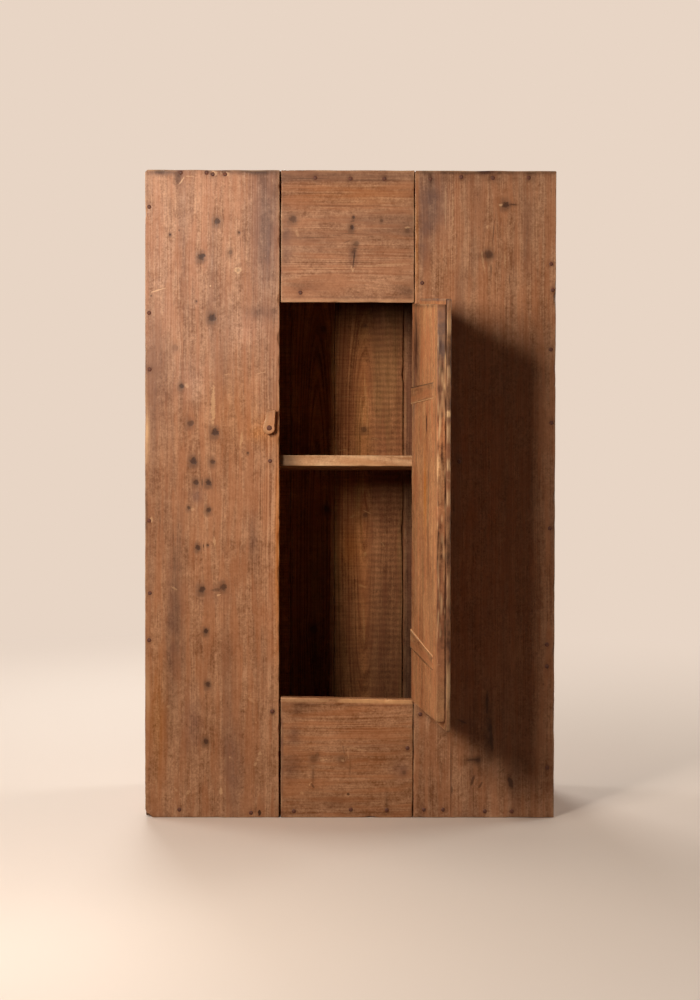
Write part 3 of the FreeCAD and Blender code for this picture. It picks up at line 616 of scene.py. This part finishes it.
RIGHT_PATCHES = [
    (345, 800, 260, 900, 8, {"strong": 0.05, "light": 0.03}),
    (200, 1535, 38, 75, 2, {"light": -0.2, "strong": -0.08, "bloom": 0.6, "stain": 0.1}),
    (180, 1440, 18, 70, 2, {"light": -0.12, "bloom": 0.45}), (330, 1616, 230, 6, 2, {"stain": 0.8}),
    (330, 1600, 210, 10, 2, {"stain": 0.25}), (198, 1590, 6, 20, 2, {"stain": 0.5}),
    (480, 1500, 26, 200, 2, {"light": -0.08}), (430, 1560, 14, 60, 2, {"light": -0.12}),
    (438, 1440, 12, 90, 2, {"light": -0.12, "bloom": 0.2}), (336, 1408, 22, 7, 2, {"stain": 0.5}),
    (398, 1535, 16, 4, 2, {"stain": 0.7}), (250, 1500, 12, 120, 2, {"light": 0.08, "lines": 0.5}),
    (165, 1450, 4, 160, 2, {"light": 0.15, "strong": 0.2}), (350, 200, 14, 120, 2, {"stain": 0.3}),
    (310, 120, 30, 40, 2, {"stain": 0.25}), (403, 92, 13, 26, 2, {"stain": 0.6}),
    (348, 215, 9, 60, 2, {"stain": 0.5}), (313, 146, 26, 9, 2, {"stain": 0.6}),
    (282, 242, 22, 7, 2, {"stain": 0.4})]
BOTTOM_PATCHES = [
    (0, 180, 260, 200, 8, {"light": 0.04, "strong": 0.08}), (-125, 276, 44, 20, 2, {"stain": 0.55}),
    (-140, 205, 16, 30, 2, {"stain": 0.3, "bloom": 0.3}),
    (-148, 128, 22, 30, 2, {"stain": 0.35, "bloom": 0.3}), (-92, 108, 4, 20, 2, {"stain": 0.7}),
    (40, 230, 140, 40, 2, {"lines": 0.3}), (130, 120, 24, 26, 2, {"bloom": 0.5}),
    (70, 297, 100, 5, 8, {"wear": 0.7, "light": 0.05, "strong": 0.05}),
    (-110, 297, 60, 4.5, 8, {"wear": 0.4}), (0, 286, 170, 1.6, 4, {"stain": 0.4}),
    (93, 45, 4, 26, 2, {"stain": 0.6}), (-170, 160, 3, 140, 2, {"bloom": 0.9, "light": 0.1}),
    (-40, 40, 90, 22, 2, {"stain": 0.25}), (2, 128, 2, 26, 2, {"stain": 0.5})]


def sloped_top(points, low, high):
    """The bottom panel's top edge falls to the right: every height shrinks in proportion."""
    corners = corners_of("front_bottom_panel")
    left = corners[corners[:, 0] < low[0] + MM][:, 2].max()
    right = corners[corners[:, 0] > high[0] - MM][:, 2].max()
    out = points.copy()
    out[:, 2] *= (left + (right - left) * (points[:, 0] - low[0]) / (high[0] - low[0])) / high[2]
    return out


def lost_corners(points, low, high):
    """The left board's outer corners: rubbed off at the top and broken off at the bottom. Points
    beyond a slanted plane are brought back onto it."""
    out = points.copy()
    for z, inward, reach_x, reach_z in ((high[2], -1, 6 * MM, 6 * MM), (low[2], 1, 18 * MM, 22 * MM)):
        normal = np.array([reach_z, reach_x]) / math.hypot(reach_x, reach_z)
        place = (out[:, [0, 2]] - [low[0], z]) * [1, inward]
        rough = 1 + 0.1 * ripple(points, (0.02,) * 3, 71)
        depth = np.clip(reach_x * normal[0] * rough - place @ normal, 0, None)
        out[:, [0, 2]] += depth[:, None] * normal * [1, inward]
    return out


def front():
    """Two wide boards with the grain upright, and two panels with the grain across."""
    for name, grain, seed, step, nicks, pith, lines, knots, scars, patches, shape in (
            ("left_board", "z", 11, 4.2, 110, (240, 90, 0.01), 0.2,
             LEFT_KNOTS, LEFT_SCARS, LEFT_PATCHES, lost_corners),
            ("right_board", "z", 12, 4.2, 90, (-210, 60, 0.03), 0.3,
             RIGHT_KNOTS, RIGHT_SCARS, RIGHT_PATCHES, None),
            ("top_panel", "x", 13, 4, 16, (-150, 45, 0.05), 0.3,
             TOP_KNOTS, TOP_SCARS, TOP_PATCHES, None),
            ("bottom_panel", "x", 14, 4, 16, (190, 60, 0.06), 0.25,
             BOTTOM_KNOTS, BOTTOM_SCARS, BOTTOM_PATCHES, sloped_top)):
        board("front_" + name, *WAXED, grain, seed, step=step, nicks=nicks, pith=pith, lines=lines,
              knots=knots, scars=scars, patches=patches, nails=front_nails, shape=shape)


# ---------------------------------------------------------------- the rest of the case

SLANT = 0.42             # how far the back boards' edges lean, for each millimetre of thickness
SEAM_BEHIND = 1.3 * MM   # how far the seams stay open at the outer face


def leaning_seams(i):
    """Back boards whose edges were sawn at a slant and nearly meet at the outer face, so that no light
    comes through the seams. The board shears across, from nothing at its inner face, but not at the
    case's own edges, and its left edge also takes up the gap to the board before it."""
    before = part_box(f"back_board_{i - 1}")[1][0] + SEAM_BEHIND if i > 1 else None

    def shape(points, low, high):
        share = (points[:, 0] - low[0]) / (high[0] - low[0])
        hold = share if i == 1 else 1 - share if i == 6 else 1.0
        gap = low[0] - before if i > 1 else 0.0
        into = points[:, 1] - low[1]
        out = points.copy()
        out[:, 0] -= hold * SLANT * into + (1 - share) * gap * into / (high[1] - low[1])
        return out
    return shape


# Painted shade in the hollow behind the left board's lost corner, as a spot in metres.
PAINTED_SHADE_BEHIND_LOST_CORNER = ((-0.502, -0.187, 0.01), (0.03, 0.02, 0.03), {"light": -0.75})
# Painted shade on the back's inner face, as patches: the lower part darker, and a painted shadow under the
# top.
BACK_FOOT_SHADE = (40, 220, 400, 360, 2, {"light": -0.5})
BACK_HEAD_SHADOW = (40, 1310, 400, 75, 2, {"light": -0.55})
# Knots, scars and patches of the three back boards that show through the doorway.
BACK_MARKS = {
    3: {"pith": (12, 22, 0.05), "knots": [(-60, 745, 6, 0.8), (-70, 1230, 6, 0.5), (-95, 420, 8, 0.7)],
        "lines": 1.0, "saw": 0.1, "patches": [BACK_FOOT_SHADE]},
    4: {"pith": (-12, 16, 0.07), "knots": [(40, 960, 6, 0.6), (44, 730, 5, 0.6), (43, 1240, 3, 0.5)],
        "lines": 0.9, "saw": 0.25,
        "scars": [(48, 738, 14, 1.5, -25, 0.5), (92, 650, 12, 2, -50, 0.5), (44, 625, 4, 8, 20, 0.4),
                  (8, 725, 8, 4, 30, 0.3), (36, 538, 14, 3, -20, 0.35), (-15, 905, 16, 1.4, 8, 0.5),
                  (70, 935, 14, 1.4, -4, 0.5), (-10, 1048, 18, 1.2, 4, 0.35), (42, 1075, 2, 50, 0, 0.35),
                  (33, 1010, 1.6, 60, 4, 0.3), (51, 1010, 1.6, 60, -4, 0.3), (38, 820, 2.5, 60, 0, 0.3),
                  (41, 430, 2.5, 70, 1, 0.3)],
        "patches": [(105, 800, 52, 640, 6, {"saw": 0.05, "coarse": 1.0, "light": -0.06, "strong": -0.04,
                                            "lines": -0.8}),
                    (-5, 1000, 26, 130, 2, {"light": -0.1}), (40, 880, 16, 260, 2, {"light": 0.2}),
                    (42, 1030, 10, 90, 2, {"light": 0.1}), (40, 500, 13, 300, 2, {"light": 0.2}),
                    (0, 640, 30, 70, 2, {"light": 0.06, "strong": 0.05}), BACK_FOOT_SHADE, BACK_HEAD_SHADOW]},
    5: {"pith": (40, 40, 0.03), "lines": 0.5, "saw": 0.15,
        "patches": [BACK_FOOT_SHADE, BACK_HEAD_SHADOW, (190, 800, 50, 900, 8, {"light": -0.25, "strong": -0.1})]}}


def case():
    """Sides, top, bottom, the battens behind the front, and the back."""
    for i, side in enumerate(("left", "right")):
        for j, place in enumerate(("front", "rear")):
            board(f"{side}_side_{place}_board", *WAXED, "z", 21 + 2 * i + j, step=8, nicks=20,
                  pith=(25 - 60 * i, 60, 0.03), spots=[PAINTED_SHADE_BEHIND_LOST_CORNER])
    for j, place in enumerate(("front", "rear")):
        board(f"top_{place}_board", *WAXED, "x", 31 + j, step=8, pith=(10, 50, 0.03))
        board(f"bottom_{place}_board", *SAWN, "x", 33 + j, step=9, pith=(10, 50, 0.03))
    inner_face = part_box("back_board_4")[0][1]
    for i in range(1, 7):
        marks = {"pith": (12 * (i - 3), 30, 0.03), "saw": 0.3, **BACK_MARKS.get(i, {})}
        low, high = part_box(f"back_board_{i}")
        # Both edges of each board are darkened at its outer face, along the seams.
        seams = [((x, high[1], 0.8), (5 * MM, 6 * MM, 10), {"stain": 1.4}) for x in (low[0], high[0])]
        board(f"back_board_{i}", *SAWN, "z", 40 + i, step=7, nicks=20, radius=3.0, nails=back_nails,
              shape=leaning_seams(i), on_face=inner_face, spots=seams, **marks)
    for name in ("front_upper_batten", "front_lower_batten"):
        board(name, *DRY, "x", 51, step=9)


# ---------------------------------------------------------------- shelf

SHELF_FALL = math.tan(math.radians(5))
# Painted shadow on the left end of the shelf's front edge, where the left board shades it, as a patch:
# across, and from front to back.
SHELF_PAINTED_SHADOW = (-178, -177, 50, 14, 3, {"light": -0.75})
shelf_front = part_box("shelf_front_board")[0][1]


def fallen(points, low, high):
    """The shelf and its cleats fall towards the back."""
    out = points.copy()
    out[:, 2] -= (points[:, 1] - shelf_front) * SHELF_FALL
    return out


def shelf():
    """Two boards on two cleats, made level and then let down at the back."""
    for j, name in enumerate(("front_board", "rear_board", "left_cleat", "right_cleat")):
        level = corners_of("shelf_" + name)
        level[:, 2] += (level[:, 1] - shelf_front) * SHELF_FALL
        board("shelf_" + name, *DRY, "x" if "board" in name else "y", 61 + j, step=7, nicks=10,
              pith=(20, 40, 0.04), span=(level.min(0), level.max(0)), shape=fallen, patches=[SHELF_PAINTED_SHADOW])


# ---------------------------------------------------------------- door, made shut and then opened

def edge_heights(corners):
    """The lowest and highest corner at each end of a piece: rows for its left and right end."""
    ends = corners[:, 0] < corners[:, 0].mean()
    return np.array([[corners[ends][:, 2].min(), corners[ends][:, 2].max()],
                     [corners[~ends][:, 2].min(), corners[~ends][:, 2].max()]])


def fitted(ends):
    """Fits a box between two upright ends of different heights, and opens the door."""
    def shape(points, low, high):
        share = ((points[:, 0] - low[0]) / (high[0] - low[0]))[:, None]
        reach = ends[:1] + (ends[1:] - ends[:1]) * share
        up = (points[:, 2] - low[2]) / (high[2] - low[2])
        out = points.copy()
        out[:, 2] = reach[:, 0] + (reach[:, 1] - reach[:, 0]) * up
        return turned(out, opened)
    return shape


LIP_THICKNESS = 10 * MM
LIP_OVERLAP = 2 * MM           # how far the thick part's own mesh reaches into the lip's
BATTEN_IN_GROOVE = 3 * MM      # how far the battens' own mesh reaches into the door board
BATTEN_PROUD = 3 * MM          # how far they still stand out, worn down
BATTEN_SINKS = 1.5 * MM        # how much less that is at the free edge
BATTEN_TALLER = 1.5 * MM       # how much their faces widen each way
GRIPS = 260                    # spots of wear and dirt on the free edge
GRIPPED = (0.5, 1.22)          # how high up they are
# Dark lines in the rebate's corner, where the lip meets the thick part: dirt, and painted shade that the
# step casts.
REBATE_DIRT_AND_SHADE = ((1.25, 0.09, 1.6), (0.95, 0.3, 0.4), (0.5, 0.3, 1.1))     # height, reach, strength

# The door's marks, as it is when shut: the free edge is on the left.
THICK_SCARS = [
    (-36, 1000, 8, 26, 0, -0.9), (-69, 868, 6, 80, 1, -0.5), (-62, 690, 6, 70, 0, -0.3),
    (98, 1185, 6, 60, 2, -0.6), (124, 1070, 6, 40, -2, -0.5), (-130, 1050, 5, 70, 0, -0.35),
    (-110, 1180, 1.5, 60, 0, 0.5), (-60, 760, 3, 60, 0, 0.35), (20, 700, 5, 120, 2, 0.3),
    (-90, 560, 3, 80, -1, 0.35), (100, 620, 6, 90, 0, 0.3), (60, 900, 4, 70, 0, 0.3)]
THICK_PATCHES = [
    (-178, 1215, 9, 75, 4, {"bloom": 1.0, "light": -0.2}),
    (-178, 1100, 9, 60, 2, {"bloom": 0.6, "stain": 0.7}), (-178, 900, 9, 190, 2, {"light": 0.2}),
    (-178, 760, 9, 90, 2, {"stain": 0.25}), (-178, 560, 9, 220, 2, {"stain": 0.5, "bloom": 0.3}),
    (-178, 780, 12, 700, 8, {"wear": -0.3, "light": 0.02}),
    (105, 1175, 42, 90, 2, {"stain": 0.9, "bloom": 0.4}), (130, 1040, 16, 90, 2, {"bloom": 0.5}),
    (-30, 940, 14, 60, 2, {"stain": 0.3}), (-20, 830, 16, 90, 2, {"strong": 0.15}),
    (60, 640, 14, 200, 2, {"light": 0.14}), (-40, 560, 20, 200, 2, {"light": 0.08}),
    (0, 1285, 190, 5, 4, {"stain": 0.4}), (-60, 800, 6, 140, 2, {"stain": 0.4}),
    (40, 520, 7, 90, 2, {"stain": 0.35}), (-120, 640, 5, 110, 2, {"stain": 0.4}),
    (-150, 1000, 10, 160, 2, {"stain": 0.5})]
LIP_PATCHES = [
    # The first patch darkens the whole lip edge: stain, and painted shade where its arris turns away from
    # the light.
    (-187, 780, 16, 800, 8, {"wear": -0.5, "stain": 0.3, "bloom": 0.2, "light": -0.18}),
    (-187, 1130, 6, 18, 4, {"wear": 0.9}), (-187, 1031, 6, 9, 4, {"wear": 1.3}),
    (-187, 984, 6, 26, 4, {"wear": 0.9}), (-187, 912, 6, 18, 4, {"wear": 0.9}),
    (-187, 833, 6, 26, 4, {"wear": 0.8}), (-187, 620, 5, 70, 2, {"wear": 0.7}),
    (-187, 1240, 6, 40, 2, {"wear": 0.8}), (-187, 1175, 6, 30, 2, {"stain": 0.7}),
    (-187, 700, 6, 60, 2, {"stain": 0.5}), (-187, 500, 6, 120, 2, {"stain": 0.5}),
    (0, 1300, 200, 5, 4, {"bloom": 0.8}), (-187, 400, 5, 60, 2, {"wear": 0.9})]
BATTEN_PATCHES = [(0, 1200, 400, 400, 8, {"light": -0.2}), (0, 400, 400, 300, 8, {"light": -0.1})]


def gnarled_edge(x, front_y, back_y):
    """Small spots of wear and of dirt, strewn over the door's free edge where hands pull it."""
    rng = np.random.default_rng(74)
    spots = []
    for _ in range(GRIPS):
        place = (x + rng.normal(0, 2) * MM, rng.uniform(front_y, back_y), rng.uniform(*GRIPPED))
        effects = {"wear": 0.42} if rng.uniform() < 0.55 else {"stain": 0.4}
        spots.append((place, (6 * MM, 1.4 * MM, rng.uniform(6, 34) * MM), effects))
    return spots


def sunk(shape):
    """A batten that stands out less and less towards the door's free edge."""
    def tilt(points, low, high):
        share = (points[:, 0] - low[0]) / (high[0] - low[0])
        up = (points[:, 1] - low[1]) / (high[1] - low[1])
        out = points.copy()
        out[:, 1] -= BATTEN_SINKS * up * (1 - share)
        return shape(out, low, high)
    return tilt


def door():
    """The thick part that fills the opening, the lip that laps the case, and two tapered battens."""
    shut = turned(corners_of("door_board"), -opened)
    lip_front, inner_face = shut[:, 1].min(), shut[:, 1].max()
    lip_back = lip_front + LIP_THICKNESS
    thick_edge = shut[shut[:, 1] > inner_face - MM][:, 0].min()
    rebate_dirt_and_shade = [((thick_edge, lip_back, z), (5 * MM, 2.2 * MM, reach), {"stain": stain})
              for z, reach, stain in REBATE_DIRT_AND_SHADE]
    gnarled = gnarled_edge(thick_edge, lip_back, inner_face)
    for name, rows, y0, y1, marks in (
            ("door_thick_part", shut[:, 1] > inner_face - MM, lip_back - LIP_OVERLAP, inner_face,
             {"seed": 71, "scars": THICK_SCARS, "patches": THICK_PATCHES, "spots": rebate_dirt_and_shade + gnarled}),
            ("door_lip", shut[:, 1] < lip_front + MM, lip_front, lip_back,
             {"seed": 72, "patches": LIP_PATCHES, "nicks": 90, "spots": rebate_dirt_and_shade})):
        outline = shut[rows]
        low, high = outline.min(0), outline.max(0)
        low[1], high[1] = y0, y1
        marks = {"nicks": 50, "lines": 0.3, "pith": (150, 35, 0.02), **marks}
        board(name, *DOOR, "z", step=4.5, radius=1.6, span=(low, high),
              shape=fitted(edge_heights(outline)), stands_for="door_board", **marks)
    for name in ("door_upper_batten", "door_lower_batten"):
        corners = turned(corners_of(name), -opened)
        proud = corners[corners[:, 1] > inner_face + MM]
        ends = edge_heights(proud) + [-BATTEN_TALLER, BATTEN_TALLER]
        low, high = proud.min(0), proud.max(0)
        low[1], high[1] = inner_face - BATTEN_IN_GROOVE, inner_face + BATTEN_PROUD
        # A light line along one edge of each batten and a dark line along the other: wear with a painted
        # highlight, and dirt with painted shade.
        lit_worn_edge = low[2] if name == "door_upper_batten" else high[2]
        shaded_dirty_edge = low[2] + high[2] - lit_worn_edge
        worn = (0, lit_worn_edge / MM, 400, 2.5, 8, {"wear": 1.0, "light": 0.2})
        shaded_dirt = (0, shaded_dirty_edge / MM, 400, 3.5, 8, {"stain": 1.2, "light": -0.15})
        board(name, *DOOR, "x", 73, step=4, nicks=10, radius=0.8, pith=(5, 30, 0.02), span=(low, high),
              shape=sunk(fitted(ends)), patches=[*BATTEN_PATCHES, worn, shaded_dirt])


# ---------------------------------------------------------------- turn button

# The outline, from the pivot: the hub's circle, the part of it that shows, and the tongue's sides.
HUB_RADIUS = 15 * MM
HUB_MIDDLE = np.array([-1.5, -1.0]) * MM
HUB_START, HUB_END = math.radians(166), math.radians(376)
TONGUE_LEFT, TONGUE_RIGHT = -4.6 * MM, 15.8 * MM
TONGUE_THICKNESS = 8 * MM
STEP_HEIGHT = 7.5 * MM         # above this the back is cut away, so that the tongue passes over the lip
# The rings that round the front arris: how many millimetres back, and what share of the full width.
ROUNDING = ((0.3, 0.93), (0.9, 0.97), (1.8, 0.99), (3.5, 1), (5.5, 1))


def turn_button():
    """A whittled button: rings of one outline from front to back. The outline is a round hub and a
    tongue, and behind the tongue every point is brought down to the hub, so that a step is left."""
    low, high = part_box("turn_button")
    low, high = np.array(low), np.array(high)
    tip = high[2] - pivot[2]
    shoulder = low[1] + TONGUE_THICKNESS
    angles = np.linspace(HUB_START, HUB_END, 40)
    hub = HUB_MIDDLE + HUB_RADIUS * np.column_stack([np.cos(angles), np.sin(angles)])
    top_right, top_left = (TONGUE_RIGHT, tip - MM), (TONGUE_LEFT, tip)
    right = np.linspace(hub[-1], top_right, 12)[1:]
    top = np.linspace(top_right, top_left, 9)[1:]
    left = np.linspace(top_left, hub[0], 12)[1:-1]
    outline = np.concatenate([hub, right, top, left])
    middle = outline.mean(0)

    def ring(y, shrink, cut=False):
        flat = middle + (outline - middle) * shrink
        if cut:
            flat[:, 1] = np.minimum(flat[:, 1], STEP_HEIGHT)
        return np.column_stack([flat[:, 0] + pivot[0], np.full(len(flat), y), flat[:, 1] + pivot[2]])

    rings = [ring(low[1], share) for share in (0.05, 0.3, 0.55, 0.75, 0.88)]
    rings += [ring(low[1] + depth * MM, share) for depth, share in ROUNDING]
    rings += [ring(shoulder - 0.8 * MM, 0.995), ring(shoulder, 0.97), ring(shoulder, 0.96, True)]
    rings += [ring(y, 0.97, True) for y in np.linspace(shoulder, high[1], 6)[1:]]
    rings += [ring(high[1], share, True) for share in (0.7, 0.4, 0.1)]
    points, faces = tube_skin(np.array(rings))
    fields = grain_fields(points, low, high, (2, 1, 0), 81, pith=(3, 9, 0.05))
    fields["marks"][:, 1] *= 0.4
    whittled = np.column_stack([ripple(points, (0.02,) * 3, 82 + k) for k in range(3)])
    points = np.clip(points + 0.22 * MM * whittled, low, high)
    piece("turn_button", points, faces, "button", "turn_button", button_wood, fields)


front()
case()
shelf()
door()
turn_button()


# ---------------------------------------------------------------- stage, light and camera

BACKDROP = "#e8d5c5"
FLOOR_SEEN = "#eadaca"
FLOOR_UNSEEN = "#452d1e"       # the colour of the light that the floor throws back, dark as old boards
FLOOR_FADE = (1.0, 3.2)        # how far out, in metres, the floor turns into the backdrop
FLOOR_REACH = 40.0
AMBIENT = 0.006                # the room's light, in front of the cupboard
AMBIENT_BEHIND = 0.4


def seen(tree):
    """1 for what the camera, a gloss or a glass sees, 0 for the light that surfaces pass on."""
    path = add(tree, "LightPath", {}).node.outputs
    either = add(tree, "Math", {0: path["Is Camera Ray"], 1: path["Is Glossy Ray"]}, operation="MAXIMUM")
    return add(tree, "Math", {0: either, 1: path["Is Transmission Ray"]}, operation="MAXIMUM")


def seen_strength(tree, unseen):
    """The backdrop's strength: 1 where it is seen."""
    return add(tree, "MapRange", {"Value": seen(tree), "To Min": unseen, "To Max": 1.0})


def pale_floor():
    """A plain pale floor that takes the backdrop's colour further off, so that no horizon shows."""
    material, tree = new_material("pale_floor")
    place = add(tree, "TexCoord", {}, "Object")
    distance = add(tree, "VectorMath", {0: place}, "Value", operation="LENGTH")
    far = add(tree, "MapRange", {"Value": distance, "From Min": FLOOR_FADE[0], "From Max": FLOOR_FADE[1]},
              interpolation_type="SMOOTHSTEP")
    shade = add(tree, "Mix", {0: seen(tree), 6: linear(FLOOR_UNSEEN), 7: linear(FLOOR_SEEN)}, 2,
                data_type="RGBA")
    near = add(tree, "BsdfPrincipled", {"Base Color": shade, "Roughness": 0.75})
    glow = add(tree, "Emission", {"Color": linear(BACKDROP), "Strength": seen_strength(tree, AMBIENT)})
    mixed = add(tree, "MixShader", {0: far, 1: near, 2: glow})
    add(tree, "OutputMaterial", {"Surface": mixed})
    return material


def stage():
    """A floor that runs to the horizon."""
    corners = [(x * FLOOR_REACH, y * FLOOR_REACH, 0) for x, y in ((-1, -1), (1, -1), (1, 1), (-1, 1))]
    mesh = bpy.data.meshes.new("floor")
    mesh.from_pydata(corners, [], [(0, 1, 2, 3)])
    mesh.materials.append(pale_floor())
    placed("floor", mesh)


def lamp(name, place, target, width, height, power, colour="#ffffff"):
    """A soft box that faces its target."""
    data = bpy.data.lights.new(name, "AREA")
    data.shape = "RECTANGLE"
    data.size, data.size_y = width, height
    data.energy = power
    data.color = linear(colour)[:3]
    made = placed(name, data)
    made.location = place
    made.rotation_mode = "QUATERNION"
    made.rotation_quaternion = (Vector(target) - Vector(place)).to_track_quat("-Z", "Y")


def light():
    """A soft box near the upper left of the front, lamps for the sides and the back, and a dim world
    that is brighter behind."""
    lamp("key_lamp", (-1.12, -2.23, 1.7), (-0.15, -0.2, 1.15), 0.55, 0.9, 57, "#fff6ee")
    lamp("left_lamp", (-3.4, 1.3, 2.2), (-0.5, 0, 0.9), 1.6, 1.6, 45)
    lamp("right_lamp", (3.4, 1.3, 2.2), (0.5, 0, 0.9), 1.6, 1.6, 45)
    lamp("back_lamp", (-0.9, 3.8, 2.4), (0, 0.2, 0.9), 1.6, 1.6, 90)
    world = bpy.data.worlds.new("pale_room")
    bpy.context.scene.world = world
    world.use_nodes = True
    tree = world.node_tree
    tree.nodes.clear()
    way = add(tree, "TexCoord", {}, "Generated")
    back = add(tree, "SeparateXYZ", {0: way}, "Y")
    unseen = add(tree, "MapRange", {"Value": back, "From Min": -0.1, "From Max": 0.6,
                                    "To Min": AMBIENT, "To Max": AMBIENT_BEHIND})
    glow = add(tree, "Background", {"Color": linear(BACKDROP), "Strength": seen_strength(tree, unseen)})
    add(tree, "OutputWorld", {"Surface": glow})


def camera():
    """Square to the front, 1.15 m up, tilted down by about a degree."""
    eye = (-0.044, -5.2023, 1.1547)
    yaw, pitch, roll = -0.0082, -0.0197, -0.0023
    data = bpy.data.cameras.new("camera")
    data.sensor_width = 36
    data.lens = 72.1
    data.shift_x = 0.0007
    data.shift_y = -0.1035
    data.clip_end = 100
    made = placed("camera", data)
    facing = (Matrix.Rotation(yaw, 4, "Z") @ Matrix.Rotation(math.pi / 2 + pitch, 4, "X")
              @ Matrix.Rotation(-roll, 4, "Z"))
    made.matrix_world = Matrix.Translation(eye) @ facing
    bpy.context.scene.camera = made


stage()
light()
camera()
bpy.context.scene.view_settings.view_transform = "Standard"
